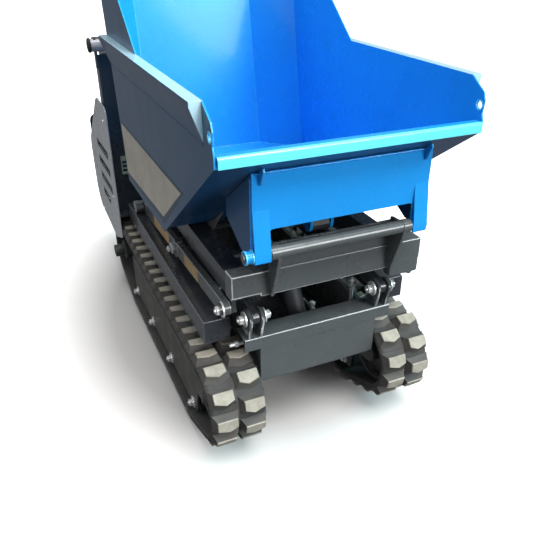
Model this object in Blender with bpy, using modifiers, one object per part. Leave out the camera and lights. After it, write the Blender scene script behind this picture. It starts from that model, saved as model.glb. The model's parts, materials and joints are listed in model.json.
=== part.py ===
"""Power wheelbarrow: a tracked walk-behind dumper whose skip tips forward on a scissor lift.

Run it with blender --background --python part.py, or from Blender's text editor.
Frame: metres, +Z up, the skip's pouring lip at -Y, +X to the machine's right as seen from
behind the controls. The origin is on the ground under the middle of the whole machine.
"""
import math

import bmesh
import bpy
from mathutils import Matrix, Vector

# --- Driving dimensions, in metres ------------------------------------------------------------
GAP = 0.0003                 # what touching pieces keep between them
RUN = 0.0008                 # running clearance round a pin

# Undercarriage
TRACK_X = 0.305              # middle of a track
TRACK_WIDTH = 0.180
CARCASS_IN, CARCASS_OUT, LUG_OUT = -0.010, 0.010, 0.035   # from the belt's neutral line
LINKS = 43                   # lugs round one belt
WHEEL_Z = 0.215
IDLER_Y, IDLER_PITCH_R = -0.730, 0.120
SPROCKET_Y, SPROCKET_PITCH_R, SPROCKET_TEETH = 0.430, 0.126, 11
ROLLER_Z, ROLLER_R = 0.085, 0.0392
ROLLER_PITCH_R = 0.050
ROLLER_Y0, ROLLER_STEP, ROLLERS = -0.580, 0.275, 4
GROOVE_WIDTH, GROOVE_DEPTH = 0.046, 0.012
HUB_OUT_X = 0.425            # outer end of the sprocket's hub

# Scissor lift
ARM_LENGTH = 0.970           # between the end pivots
ARM_REST = math.radians(3.25)
ARM_DEPTH, ARM_THICK = 0.050, 0.020
PIVOT_Y, LOW_PIVOT_Z = -0.780, 0.520
HIGH_PIVOT_Z = LOW_PIVOT_Z + ARM_LENGTH * math.sin(ARM_REST)
INNER_ARM_X, OUTER_ARM_X = 0.222, 0.310      # middles of the arms
ARM_ROLLER_R = 0.0246
PIN_R = 0.012
AXLE_R = 0.011               # of the idlers and bottom rollers

# Chassis
CHANNEL_X = (0.275, 0.360)
CHANNEL_Z = (0.416, 0.495)
FRONT_BEAM_Y, REAR_WALL_Y, REAR_END_Y = -0.794, 0.400, 0.920
DECK_Z = 0.410
HOUSING_X = 0.392            # half the width of the rear housing, inside its side covers
HANDLE_Y, HANDLE_BACK_Y = 0.9113, 0.940
FOOTBOARD_Y, FOOTBOARD_Z = 0.9285, 0.240
LEVER_Y, LEVER_Z = 0.700, 0.925

# Subframe and skip
RAIL_X, RAIL_Z = (0.235, 0.295), (0.600, 0.6717)
TILT_Y, TILT_Z = -0.890, 0.785
BRACKET_Y, BRACKET_Z = -0.843, (0.627, 0.705)   # face and height of the subframe's front beam
SKIP_X = 0.379               # outer face of the side walls
SHEET = 0.004
SKIP_FOOT_Z, SKIP_FLOOR_Z = 0.672, 0.705
CHUTE_FOOT_Y, LIP_Y, LIP_Z = -0.415, -0.946, 1.053
RIM_Z, KNEE_Y, REAR_RIM_Z = 1.190, -0.250, 1.420
REAR_LEAN = 0.1833           # how far the rear walls lean back for each metre up
SKIP_SIDE_REAR_Y, SKIP_BACK_Y = 0.110, 0.250   # at SKIP_FLOOR_Z
LIFT_BASE = (-0.660, 0.330)
LIFT_EYE_AT = 0.280          # along the inner arm from its low pivot
TIP_BASE, TIP_EYE = (-0.040, 0.500), (-0.750, 0.775)

LEVERS = {"travel_lever_left": -0.180, "travel_lever_right": -0.060, "lift_lever": 0.060, "tip_lever": 0.180}
SKIP_BLUE = (0.010, 0.185, 0.830)


# --- Small helpers -----------------------------------------------------------------------------
def clear_scene():
    for obj in list(bpy.data.objects):
        bpy.data.objects.remove(obj, do_unlink=True)


def collection(name):
    made = bpy.data.collections.new(name)
    bpy.context.scene.collection.children.link(made)
    return made


def material(name, color, roughness, metallic=0.0):
    made = bpy.data.materials.new(name)
    made.use_nodes = True
    shader = made.node_tree.nodes["Principled BSDF"]
    shader.inputs["Base Color"].default_value = (*color, 1.0)
    shader.inputs["Roughness"].default_value = roughness
    shader.inputs["Metallic"].default_value = metallic
    made.diffuse_color = (*color, 1.0)
    return made


clear_scene()
MACHINE = collection("power_wheelbarrow")
BLUE = material("skip_blue", SKIP_BLUE, 0.35)
GREY = material("frame_grey", (0.095, 0.108, 0.110), 0.5)
DARK = material("dark_paint", (0.030, 0.034, 0.042), 0.5)
COVER = material("cover_grey", (0.20, 0.21, 0.22), 0.45)
RUBBER = material("track_rubber", (0.030, 0.030, 0.031), 0.85)
ZINC = material("zinc", (0.62, 0.63, 0.64), 0.3, 1.0)
CHROME = material("rod_chrome", (0.75, 0.76, 0.78), 0.12, 1.0)
IRON = material("wheel_iron", (0.055, 0.058, 0.062), 0.55)
GRIP = material("grip_rubber", (0.02, 0.02, 0.02), 0.8)


def solid(name, mesh, paint):
    obj = bpy.data.objects.new(name, mesh)
    MACHINE.objects.link(obj)
    obj.data.materials.clear()
    obj.data.materials.append(paint)
    return obj


def from_bmesh(name, shape, paint):
    mesh = bpy.data.meshes.new(name)
    shape.to_mesh(mesh)
    shape.free()
    return solid(name, mesh, paint)


def box(name, low, high, paint=GREY):
    """A block between two corners."""
    low, high = Vector(low), Vector(high)
    size = high - low
    place = Matrix.Translation((low + high) / 2) @ Matrix.Diagonal((*size, 1.0))
    shape = bmesh.new()
    bmesh.ops.create_cube(shape, size=1.0, matrix=place)
    return from_bmesh(name, shape, paint)


def rod(name, start, end, radius, paint=GREY, sides=14):
    """A round bar between two points."""
    start, end = Vector(start), Vector(end)
    along = end - start
    turn = along.to_track_quat("Z", "Y").to_matrix().to_4x4()
    shape = bmesh.new()
    bmesh.ops.create_cone(shape, cap_ends=True, segments=sides, radius1=radius, radius2=radius,
                          depth=along.length, matrix=Matrix.Translation((start + end) / 2) @ turn)
    return from_bmesh(name, shape, paint)


def baked(obj, name, paint):
    """The object as its modifiers or curve settings shape it, as a plain mesh."""
    graph = bpy.context.evaluated_depsgraph_get()
    graph.update()
    mesh = bpy.data.meshes.new_from_object(obj.evaluated_get(graph))
    mesh.transform(obj.matrix_world)
    bpy.data.objects.remove(obj, do_unlink=True)
    shape = bmesh.new()
    shape.from_mesh(mesh)
    bmesh.ops.remove_doubles(shape, verts=shape.verts, dist=0.00002)
    bmesh.ops.recalc_face_normals(shape, faces=shape.faces)
    shape.to_mesh(mesh)
    shape.free()
    mesh.name = name
    return solid(name, mesh, paint)


def profile(name, points, x_low, x_high, paint=GREY):
    """A flat outline in the Y-Z plane, extruded across from x_low to x_high."""
    curve = bpy.data.curves.new(name, "CURVE")
    curve.dimensions = "2D"
    curve.fill_mode = "BOTH"
    curve.extrude = (x_high - x_low) / 2
    spline = curve.splines.new("POLY")
    spline.points.add(len(points) - 1)
    spline.use_cyclic_u = True
    for spot, (y, z) in zip(spline.points, points):
        spot.co = (y, z, 0.0, 1.0)
    obj = bpy.data.objects.new(name + "_outline", curve)
    MACHINE.objects.link(obj)
    # The curve's own X, Y and Z lie along the machine's Y, Z and X.
    obj.matrix_world = Matrix(((0, 0, 1, (x_low + x_high) / 2), (1, 0, 0, 0), (0, 1, 0, 0), (0, 0, 0, 1)))
    bpy.context.view_layer.update()
    return baked(obj, name, paint)


def turned(name, outline, centre, paint, steps=20, bored=False):
    """A solid turned about an axis along X, from (x, radius) points; a bored one's outline closes."""
    shape = bmesh.new()
    spots = [shape.verts.new((x, 0.0, radius)) for x, radius in outline]
    for first, second in zip(spots, spots[1:] + spots[:1] if bored else spots[1:]):
        shape.edges.new((first, second))
    obj = from_bmesh(name + "_half", shape, paint)
    screw = obj.modifiers.new("turn", "SCREW")
    screw.axis = "X"
    screw.steps = screw.render_steps = steps
    screw.use_merge_vertices = True
    screw.merge_threshold = 0.00005
    obj.location = (0.0, *centre)
    bpy.context.view_layer.update()
    return baked(obj, name, paint)


def combine(target, tool, operation):
    boolean = target.modifiers.new(operation.lower(), "BOOLEAN")
    boolean.operation = operation
    boolean.solver = "EXACT"
    boolean.object = tool
    bpy.context.view_layer.update()
    name, paint = target.name, target.data.materials[0]
    target.name = name + "_before"
    made = baked(target, name, paint)
    bpy.data.objects.remove(tool, do_unlink=True)
    return made


def joined(name, first, *others):
    for other in others:
        first = combine(first, other, "UNION")
    first.name = name
    return first


def cut(target, *tools):
    for tool in tools:
        target = combine(target, tool, "DIFFERENCE")
    return target


def hole(x_low, x_high, y, z, radius, sides=12):
    return rod("hole", (x_low, y, z), (x_high, y, z), radius, sides=sides)


def set_origin(obj, spot):
    """Puts a moving piece's origin on its joint's axis."""
    spot = Vector(spot)
    obj.data.transform(Matrix.Translation(-spot))
    obj.location = spot
    return obj


def arc(centre, radius, start, end, steps):
    """Points on a circle, angles in degrees."""
    angles = [math.radians(start + (end - start) * k / steps) for k in range(steps + 1)]
    return [(centre[0] + radius * math.cos(a), centre[1] + radius * math.sin(a)) for a in angles]


def along(start, angle, distance, side=0.0):
    """A point at a distance from start in a direction, then off to its left side."""
    return (start[0] + distance * math.cos(angle) - side * math.sin(angle),
            start[1] + distance * math.sin(angle) + side * math.cos(angle))


def bar_outline(start, end, radius_start, radius_end, steps=5):
    """A bar with round ends round two pivots."""
    angle = math.degrees(math.atan2(end[1] - start[1], end[0] - start[0]))
    return (arc(start, radius_start, angle + 90, angle + 270, steps)
            + arc(end, radius_end, angle - 90, angle + 90, steps))


# --- Tracks ------------------------------------------------------------------------------------
def belt_circles(offset):
    """The wheels that a belt goes round, anticlockwise seen from the right."""
    last_roller_y = ROLLER_Y0 + (ROLLERS - 1) * ROLLER_STEP
    return ((IDLER_Y, WHEEL_Z, IDLER_PITCH_R + offset),
            (ROLLER_Y0, ROLLER_Z, ROLLER_PITCH_R + offset),
            (last_roller_y, ROLLER_Z, ROLLER_PITCH_R + offset),
            (SPROCKET_Y, WHEEL_Z, SPROCKET_PITCH_R + offset))


def belt_runs(offset):
    """For each wheel: its centre, radius, and the angles where the belt meets and leaves it."""
    circles = belt_circles(offset)
    leave = []
    for here, there in zip(circles, circles[1:] + circles[:1]):
        away = math.atan2(there[1] - here[1], there[0] - here[0])
        distance = math.hypot(there[0] - here[0], there[1] - here[1])
        leave.append(away - math.acos((here[2] - there[2]) / distance))
    runs = []
    for k, (y, z, radius) in enumerate(circles):
        meet, go = leave[k - 1], leave[k]
        while go < meet:
            go += 2 * math.pi
        runs.append((y, z, radius, meet, go))
    return runs


class BeltLine:
    """The belt's neutral line, read by distance along it."""

    def __init__(self):
        self.pieces = []
        runs = belt_runs(0.0)
        for k, (y, z, radius, meet, go) in enumerate(runs):
            following = runs[(k + 1) % len(runs)]
            self.pieces.append(("arc", radius * (go - meet), (y, z, radius, meet)))
            start = (y + radius * math.cos(go), z + radius * math.sin(go))
            end = (following[0] + following[2] * math.cos(following[3]),
                   following[1] + following[2] * math.sin(following[3]))
            self.pieces.append(("line", math.dist(start, end), (start, end, go)))
        self.length = sum(length for _, length, _ in self.pieces)

    def piece(self, distance):
        """Which arc or straight a distance falls on, and how far along it."""
        distance %= self.length
        for number, (_, length, _) in enumerate(self.pieces):
            if distance <= length:
                break
            distance -= length
        return number, distance

    def at(self, distance, offset):
        number, distance = self.piece(distance)
        kind, length, data = self.pieces[number]
        if kind == "arc":
            y, z, radius, meet = data
            angle = meet + distance / radius
            return (y + (radius + offset) * math.cos(angle), z + (radius + offset) * math.sin(angle))
        start, end, normal = data
        part = distance / length
        return (start[0] + (end[0] - start[0]) * part + offset * math.cos(normal),
                start[1] + (end[1] - start[1]) * part + offset * math.sin(normal))

    def bends(self, start, end):
        """Whether the belt curves between two distances."""
        first, last = self.piece(start)[0], self.piece(end)[0]
        return first != last or self.pieces[first][0] == "arc"


def rubber_track(name, side):
    """A belt with a bar at each link outside and a groove for the wheels' flanges inside."""
    line = BeltLine()
    pitch = line.length / LINKS
    middle = side * TRACK_X
    low, high = middle - TRACK_WIDTH / 2, middle + TRACK_WIDTH / 2
    groove = (middle - GROOVE_WIDTH / 2, middle + GROOVE_WIDTH / 2)
    floor = CARCASS_IN + GROOVE_DEPTH
    bars = ((0.00, CARCASS_OUT), (0.07, LUG_OUT), (0.48, LUG_OUT), (0.55, CARCASS_OUT))
    across = ((low, CARCASS_IN), (groove[0], CARCASS_IN), (groove[0], floor), (groove[1], floor),
              (groove[1], CARCASS_IN), (high, CARCASS_IN))
    shape = bmesh.new()
    outer, inner, starts = [], [], []
    for link in range(LINKS):
        starts.append((len(outer), len(inner)))
        for part, height in bars:
            y, z = line.at((link + part) * pitch, height)
            outer.append([shape.verts.new((x, y, z)) for x in (low, high)])
        steps = 4 if line.bends(link * pitch, (link + 1) * pitch) else 1
        for part in (k / steps for k in range(steps)):
            spots = [line.at((link + part) * pitch, height) for _, height in across]
            inner.append([shape.verts.new((x, y, z)) for (x, _), (y, z) in zip(across, spots)])
    starts.append((len(outer), len(inner)))
    for here, there in zip(outer, outer[1:] + outer[:1]):
        shape.faces.new((here[0], here[1], there[1], there[0]))
    for here, there in zip(inner, inner[1:] + inner[:1]):
        for k in range(len(across) - 1):
            shape.faces.new((here[k], there[k], there[k + 1], here[k + 1]))
    for (outer_from, inner_from), (outer_to, inner_to) in zip(starts, starts[1:]):
        for edge, rim in ((0, 0), (1, -1)):
            loop = [outer[k % len(outer)][edge] for k in range(outer_from, outer_to + 1)]
            loop += [inner[k % len(inner)][rim] for k in range(inner_to, inner_from - 1, -1)]
            shape.faces.new(loop)
    bmesh.ops.recalc_face_normals(shape, faces=shape.faces)
    return from_bmesh(name, shape, RUBBER)


def idler_wheel(name, side):
    rim, flange, hub = IDLER_PITCH_R + CARCASS_IN - 0.0015, IDLER_PITCH_R - 0.001, 0.032
    half = [(0.058, AXLE_R + RUN), (0.058, hub), (0.034, hub), (0.030, 0.085), (0.052, 0.092),
            (0.052, rim), (0.018, rim), (0.014, flange)]
    outline = [(-x, r) for x, r in half] + [(x, r) for x, r in reversed(half)]
    wheel = turned(name, [(side * TRACK_X + x, r) for x, r in outline], (IDLER_Y, WHEEL_Z), IRON, bored=True)
    return set_origin(wheel, (side * TRACK_X, IDLER_Y, WHEEL_Z))


def bottom_roller(name, side, y):
    half = [(0.0575, AXLE_R + RUN), (0.0575, 0.018), (0.050, 0.018), (0.050, ROLLER_R), (0.024, ROLLER_R),
            (0.020, 0.030)]
    outline = [(-x, r) for x, r in half] + [(x, r) for x, r in reversed(half)]
    roller = turned(name, [(side * TRACK_X + x, r) for x, r in outline], (y, ROLLER_Z), IRON, 12, bored=True)
    return set_origin(roller, (side * TRACK_X, y, ROLLER_Z))


def drive_sprocket(name, side):
    tip, root = SPROCKET_PITCH_R - 0.0015, SPROCKET_PITCH_R - 0.026
    outline = []
    for tooth in range(SPROCKET_TEETH):
        for part, radius in ((0.00, root), (0.22, tip), (0.42, tip), (0.64, root)):
            angle = 2 * math.pi * (tooth + part) / SPROCKET_TEETH
            outline.append((SPROCKET_Y + radius * math.cos(angle), WHEEL_Z + radius * math.sin(angle)))
    middle = side * TRACK_X
    teeth = profile("teeth", outline, middle - 0.015, middle + 0.015, IRON)
    inner, outer = sorted((side * 0.2700, side * HUB_OUT_X))
    hub_r, cap_r, drum_r = 0.055, 0.028, 0.080
    steps = [(0.0, 0.0), (0.0, hub_r), (0.030, hub_r), (0.052, drum_r), (0.066, drum_r), (0.078, 0.046),
             (0.110, 0.046), (0.118, cap_r), (outer - inner, cap_r), (outer - inner, 0.0)]
    hub_line = [(inner + x if side > 0 else outer - x, r) for x, r in steps]
    hub = turned("hub", hub_line, (SPROCKET_Y, WHEEL_Z), IRON, 16)
    return set_origin(joined(name, teeth, hub), (middle, SPROCKET_Y, WHEEL_Z))


def drive_motor(name, side):
    """The hydraulic travel motor inboard of the sprocket, with its bolting flange."""
    steps = [(0.198, 0.0), (0.198, 0.046), (0.232, 0.046), (0.232, 0.070), (0.246, 0.070), (0.246, 0.050),
             (0.2690, 0.050), (0.2690, 0.0)]
    return turned(name, [(side * x, r) for x, r in steps], (SPROCKET_Y, WHEEL_Z), DARK, 14)


def track_frame(name, side):
    """A box beam with side plates that carry the rollers, and a fork for the idler."""
    middle = side * TRACK_X
    rear_y = ROLLER_Y0 + (ROLLERS - 1) * ROLLER_STEP + 0.045
    beam = box(name, (middle - 0.045, ROLLER_Y0 - 0.020, 0.135), (middle + 0.045, rear_y, 0.245), DARK)
    plate = (arc((IDLER_Y, WHEEL_Z), 0.034, 90, 270, 5)
             + [(ROLLER_Y0 - 0.055, 0.165), (ROLLER_Y0 - 0.035, 0.066), (rear_y, 0.066), (rear_y, 0.249)])
    for low, high in ((-0.068, -0.060), (0.060, 0.068)):
        beam = joined(name, beam, profile("plate", plate, middle + low, middle + high))
    cross = box("cross", (middle - 0.064, ROLLER_Y0 - 0.020, 0.200), (middle + 0.064, rear_y - 0.002, 0.240))
    wheels = [(IDLER_Y, WHEEL_Z)] + [(ROLLER_Y0 + k * ROLLER_STEP, ROLLER_Z) for k in range(ROLLERS)]
    axles = [rod("axle", (middle - 0.064, *at), (middle + 0.064, *at), AXLE_R, sides=12) for at in wheels]
    return joined(name, beam, cross, *axles)


# --- Chassis -----------------------------------------------------------------------------------
def chassis_frame():
    """The welded centre frame: two long plates, a floor, track cross beams and channel outriggers."""
    front, rear = FRONT_BEAM_Y + 0.010, 0.560
    frame = box("chassis_frame", (-0.197, front, 0.270), (0.197, rear, 0.278))
    side = [(front, 0.272), (rear, 0.272), (rear, DECK_Z - GAP), (0.345, DECK_Z - GAP), (0.345, 0.4437),
            (front, 0.4437)]
    pieces = [profile("side", side, x, x + 0.012) for x in (-0.197, 0.185)]
    reach = TRACK_X - 0.068 - GAP
    pieces += [box("axle", (-reach, y, 0.185), (reach, y + 0.070, 0.276)) for y in (-0.440, 0.060)]
    reach = CHANNEL_X[0] - GAP
    pieces += [box("outrigger", (-reach, y, 0.420), (reach, y + 0.050, 0.440)) for y in (-0.450, 0.050, 0.290)]
    clevis = [(LIFT_BASE[0] - 0.022, 0.274), (LIFT_BASE[0] + 0.022, 0.274)] + arc(LIFT_BASE, 0.022, 0, 180, 5)
    pieces += [profile("clevis", clevis, x, x + 0.010) for x in (-0.040, 0.030)]
    motor_plates = [box("motor_plate", (x, 0.375, 0.150), (x + 0.008, 0.485, 0.300)) for x in (-0.1955, 0.1875)]
    return joined("chassis_frame", frame, *pieces, *motor_plates)


def chassis_front_beam():
    """A bent flange across the front, with a skirt below and a clevis for each inner arm."""
    fold_z, y = 0.451, FRONT_BEAM_Y
    section = [(y, 0.408), (y, fold_z), (y + 0.066, fold_z + 0.004), (y + 0.066, fold_z - 0.001),
               (y + 0.006, fold_z - 0.006), (y + 0.006, 0.408)]
    beam = profile("chassis_front_beam", section, -0.257, 0.257)
    ear = [(PIVOT_Y + 0.034, fold_z), (PIVOT_Y + 0.034, 0.470)] + arc((PIVOT_Y, LOW_PIVOT_Z), 0.030, 0, 180, 5)
    ear = [(PIVOT_Y - 0.012, fold_z - 0.002), (PIVOT_Y + 0.034, fold_z - 0.001)] + ear[1:]
    ears = []
    for side in (-1, 1):
        for x in (INNER_ARM_X - 0.019, INNER_ARM_X + 0.019):
            ears.append(profile("ear", ear, side * x - 0.004, side * x + 0.004))
    pins = [rod("pin", (side * (INNER_ARM_X - 0.030), PIVOT_Y, LOW_PIVOT_Z),
                (side * (INNER_ARM_X + 0.030), PIVOT_Y, LOW_PIVOT_Z), PIN_R) for side in (-1, 1)]
    skirt = box("skirt", (-0.206, y + 0.0017, 0.281), (0.206, y + 0.0097, 0.420))
    return joined("chassis_front_beam", beam, *ears, *pins, skirt)


def chassis_channel(name, side):
    """The long side channel whose top the outer arms' rollers run on."""
    inner, outer = sorted((side * CHANNEL_X[0], side * CHANNEL_X[1]))
    low, high = CHANNEL_Z
    rail = box(name, (inner, -0.715, low), (outer, 0.300, high))
    web = 0.005
    hollow = box("hollow", (inner + web, -0.685, low - 0.01), (outer - web, 0.260, high - web))
    return cut(rail, hollow)


# --- Scissor lift ------------------------------------------------------------------------------
def arm_ends(outer):
    """The front and rear pivots of an arm at rest."""
    run = ARM_LENGTH * math.cos(ARM_REST)
    if outer:
        return (PIVOT_Y, HIGH_PIVOT_Z), (PIVOT_Y + run, LOW_PIVOT_Z)
    return (PIVOT_Y, LOW_PIVOT_Z), (PIVOT_Y + run, HIGH_PIVOT_Z)


def middle_pivot():
    front, rear = arm_ends(False)
    return ((front[0] + rear[0]) / 2, (front[1] + rear[1]) / 2)


def scissor_arm(name, side, outer):
    """A flat arm with a round boss at its middle; the rear end carries its roller's stub."""
    front, rear = arm_ends(outer)
    middle = middle_pivot()
    x = side * (OUTER_ARM_X if outer else INNER_ARM_X)
    half = ARM_THICK / 2
    angle = math.atan2(rear[1] - front[1], rear[0] - front[0])
    turn = math.degrees(angle)
    under = [along(front, angle, d, -ARM_DEPTH / 2) for d in (0.080, ARM_LENGTH - 0.080)]
    over = [along(front, angle, d, ARM_DEPTH / 2) for d in (ARM_LENGTH - 0.080, 0.080)]
    outline = (arc(front, 0.022, turn + 95, turn + 265, 6) + under
               + arc(rear, 0.022, turn - 85, turn + 85, 6) + over)
    arm = profile(name, outline, x - half, x + half, GREY if outer else DARK)
    arm = joined(name, arm, rod("boss", (x - half - 0.003, *middle), (x + half + 0.003, *middle), 0.034))
    stub_end = x + side * 0.047
    stub = rod("stub", (x, *rear), (stub_end, *rear), 0.009, sides=16)
    arm = joined(name, arm, stub)
    arm = cut(arm, hole(x - 0.03, x + 0.03, *front, PIN_R + RUN))
    arm = cut(arm, hole(x - 0.03, x + 0.03, *middle, PIN_R + RUN))
    return set_origin(arm, (x, *(middle if outer else front)))


def arm_roller(name, side, outer):
    rear = arm_ends(outer)[1]
    x = side * ((OUTER_ARM_X if outer else INNER_ARM_X) + ARM_THICK / 2)
    low, high = sorted((x + side * 0.003, x + side * 0.034))
    wheel = rod(name, (low, *rear), (high, *rear), ARM_ROLLER_R, ZINC, 20)
    wheel = cut(wheel, hole(low - 0.01, high + 0.01, *rear, 0.009 + RUN))
    return set_origin(wheel, ((low + high) / 2, *rear))


def inner_cross_tube():
    """Joins the inner arms, with two cheeks that hold the lift cylinder's eye."""
    front = arm_ends(False)[0]
    tube_at, eye_at = along(front, ARM_REST, 0.352), along(front, ARM_REST, LIFT_EYE_AT)
    reach = INNER_ARM_X - ARM_THICK / 2 - GAP
    tube = rod("inner_cross_tube", (-reach, *tube_at), (reach, *tube_at), 0.018, DARK)
    cheek = bar_outline(eye_at, tube_at, 0.024, 0.024)
    for x in (-0.040, 0.031):
        tube = joined("inner_cross_tube", tube, profile("cheek", cheek, x, x + 0.009))
    return set_origin(tube, (0.0, *front))


def outer_cross_tube():
    rear = along(arm_ends(True)[0], -ARM_REST, 0.925)
    reach = OUTER_ARM_X - ARM_THICK / 2 - GAP
    return set_origin(rod("outer_cross_tube", (-reach, *rear), (reach, *rear), 0.0135, DARK),
                      (0.0, *middle_pivot()))


def middle_pin(name, side):
    low, high = sorted((side * (INNER_ARM_X - 0.013), side * (OUTER_ARM_X + 0.016)))
    y, z = middle_pivot()
    shank = rod(name, (low, y, z), (high, y, z), PIN_R, ZINC)
    head = side * (OUTER_ARM_X + 0.0135)
    return joined(name, shank, rod("head", (head, y, z), (head + side * 0.007, y, z), 0.020))


# --- Cylinders ---------------------------------------------------------------------------------
def cylinder_axis(start, end):
    return math.atan2(end[1] - start[1], end[0] - start[0]), math.dist(start, end)


def cylinder_barrel(name, start, end, radius, bore, length, eye_r, eye_half):
    """A barrel with a pivot eye at its closed end; its open end is the gland."""
    angle, _ = cylinder_axis(start, end)
    first, last = along(start, angle, eye_r + 0.010), along(start, angle, length)
    gland = along(start, angle, length - 0.030)
    body = rod(name, (0.0, *first), (0.0, *last), radius, DARK, 16)
    body = joined(name, body, rod("gland", (0.0, *gland), (0.0, *last), radius + 0.003, sides=16))
    neck = bar_outline(start, along(start, angle, eye_r + 0.016), eye_r, eye_r * 0.8)
    body = joined(name, body, profile("eye", neck, -eye_half, eye_half))
    floor = along(start, angle, eye_r + 0.026)
    body = cut(body, rod("bore", (0.0, *floor), (0.0, *along(start, angle, length + 0.01)), bore, sides=16))
    body = cut(body, hole(-0.1, 0.1, *start, 0.0105))
    return set_origin(body, (0.0, *start))


def cylinder_rod(name, start, end, radius, inside, eye_r, eye_half):
    """A rod from inside the barrel to the eye at its far end."""
    angle, length = cylinder_axis(start, end)
    first, last = along(start, angle, inside), along(start, angle, length - eye_r * 0.6)
    shank = rod(name, (0.0, *first), (0.0, *last), radius, CHROME, 14)
    eye = profile("eye", bar_outline(along(start, angle, length - eye_r * 0.9), end, radius * 0.95, eye_r),
                  -eye_half, eye_half)
    made = joined(name, shank, eye)
    return set_origin(cut(made, hole(-0.1, 0.1, *end, 0.0105)), (0.0, *start))


# --- Subframe ----------------------------------------------------------------------------------
def subframe_rail(name, side):
    """A rail with a lug and a stub pin for the outer arm; the inner arm's roller runs under it."""
    inner, outer = sorted((side * RAIL_X[0], side * RAIL_X[1]))
    rail = box(name, (inner, FRONT_BEAM_Y + 0.004, RAIL_Z[0]), (outer, 0.245, RAIL_Z[1]))
    high = (PIVOT_Y, HIGH_PIVOT_Z)
    lug = [(PIVOT_Y + 0.036, RAIL_Z[0] + 0.01), (PIVOT_Y - 0.009, RAIL_Z[0] + 0.01), (PIVOT_Y - 0.009, 0.5875)]
    lug += arc(high, 0.020, 215, 340, 6)
    lug_low, lug_high = sorted((side * (RAIL_X[1] - 0.014), side * (RAIL_X[1] - 0.0005)))
    rail = joined(name, rail, profile("lug", lug, lug_low, lug_high))
    start, end = side * (RAIL_X[1] - 0.012), side * (OUTER_ARM_X + 0.0135)
    rail = joined(name, rail, rod("pin", (start, *high), (end, *high), PIN_R))
    return joined(name, rail, rod("head", (end - side * 0.002, *high), (end + side * 0.007, *high), 0.020))


def subframe_front_beam():
    """The box beam across the rails' front ends, its lower corners cut off outside the bracket."""
    low, high = BRACKET_Z
    rear = FRONT_BEAM_Y + 0.004 - GAP
    beam = box("subframe_front_beam", (-0.311, BRACKET_Y, low), (0.311, rear, high))
    for side in (-1, 1):
        x_low, x_high = sorted((side * 0.225, side * 0.320))
        chin = profile("chin", [(BRACKET_Y - 0.01, low - 0.01), (BRACKET_Y - 0.01, low + 0.020),
                                (BRACKET_Y + 0.020, low - 0.01)], x_low, x_high)
        beam = cut(beam, chin)
    return beam


def tilt_bracket():
    """The tube the skip tips on, a web behind it and two cheeks that run down the beam's face."""
    low, high = BRACKET_Z
    face, foot = BRACKET_Y - GAP, high + GAP
    plate = box("tilt_bracket", (-0.194, BRACKET_Y, foot), (0.194, BRACKET_Y + 0.008, 0.786), GREY)
    cheek = [(face, low + 0.003), (face - 0.017, low + 0.004), (TILT_Y - 0.009, 0.742), (TILT_Y - 0.0165, 0.770)]
    cheek += [(TILT_Y - 0.0165, 0.790), (TILT_Y - 0.005, 0.800), (BRACKET_Y + 0.007, 0.795),
              (BRACKET_Y + 0.007, foot), (face, foot)]
    pieces = [profile("cheek", cheek, x, x + 0.008) for x in (-0.200, 0.192)]
    pieces.append(box("web", (-0.194, TILT_Y, 0.777), (0.194, BRACKET_Y + 0.006, 0.785)))
    pieces.append(rod("tube", (-0.2195, TILT_Y, TILT_Z), (0.2195, TILT_Y, TILT_Z), 0.0185, sides=18))
    pieces += [rod("collar", (side * 0.193, TILT_Y, TILT_Z), (side * 0.2185, TILT_Y, TILT_Z), 0.0205, sides=18)
               for side in (-1, 1)]
    pieces.append(rod("pin", (-0.296, TILT_Y, TILT_Z), (0.275, TILT_Y, TILT_Z), PIN_R))
    return joined("tilt_bracket", plate, *pieces)


def subframe_cross_member():
    """Between the rails at the tip cylinder's foot, with its two cheeks."""
    y, z = TIP_BASE
    reach = RAIL_X[0] - GAP
    beam = box("subframe_cross_member", (-reach, y + 0.016, 0.604), (reach, y + 0.066, 0.660))
    cheek = [(y + 0.050, 0.640), (y + 0.020, 0.640), (y - 0.020, z + 0.004)] + arc(TIP_BASE, 0.022, 180, 330, 5)
    for x in (-0.038, 0.029):
        beam = joined("subframe_cross_member", beam, profile("cheek", cheek, x, x + 0.009))
    return beam


# --- Skip --------------------------------------------------------------------------------------
def chute_z(y):
    """Height of the chute's underside."""
    return SKIP_FOOT_Z + (CHUTE_FOOT_Y - y) * (LIP_Z - SKIP_FOOT_Z) / (CHUTE_FOOT_Y - LIP_Y)


def rear_lean_y(foot_y, z):
    return foot_y + REAR_LEAN * (z - SKIP_FLOOR_Z)


def rim_points(inset):
    """The side wall's edge, from the ear at the lip round to the top of the back."""
    rise = math.tan(math.radians(38.0))
    top_y = KNEE_Y + (REAR_RIM_Z - RIM_Z) / rise
    return [(-0.939 + inset, 1.100), (-0.9420 + inset, 1.135), (-0.934, 1.155), (-0.880, RIM_Z), (KNEE_Y, RIM_Z),
            (top_y, REAR_RIM_Z)]


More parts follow.
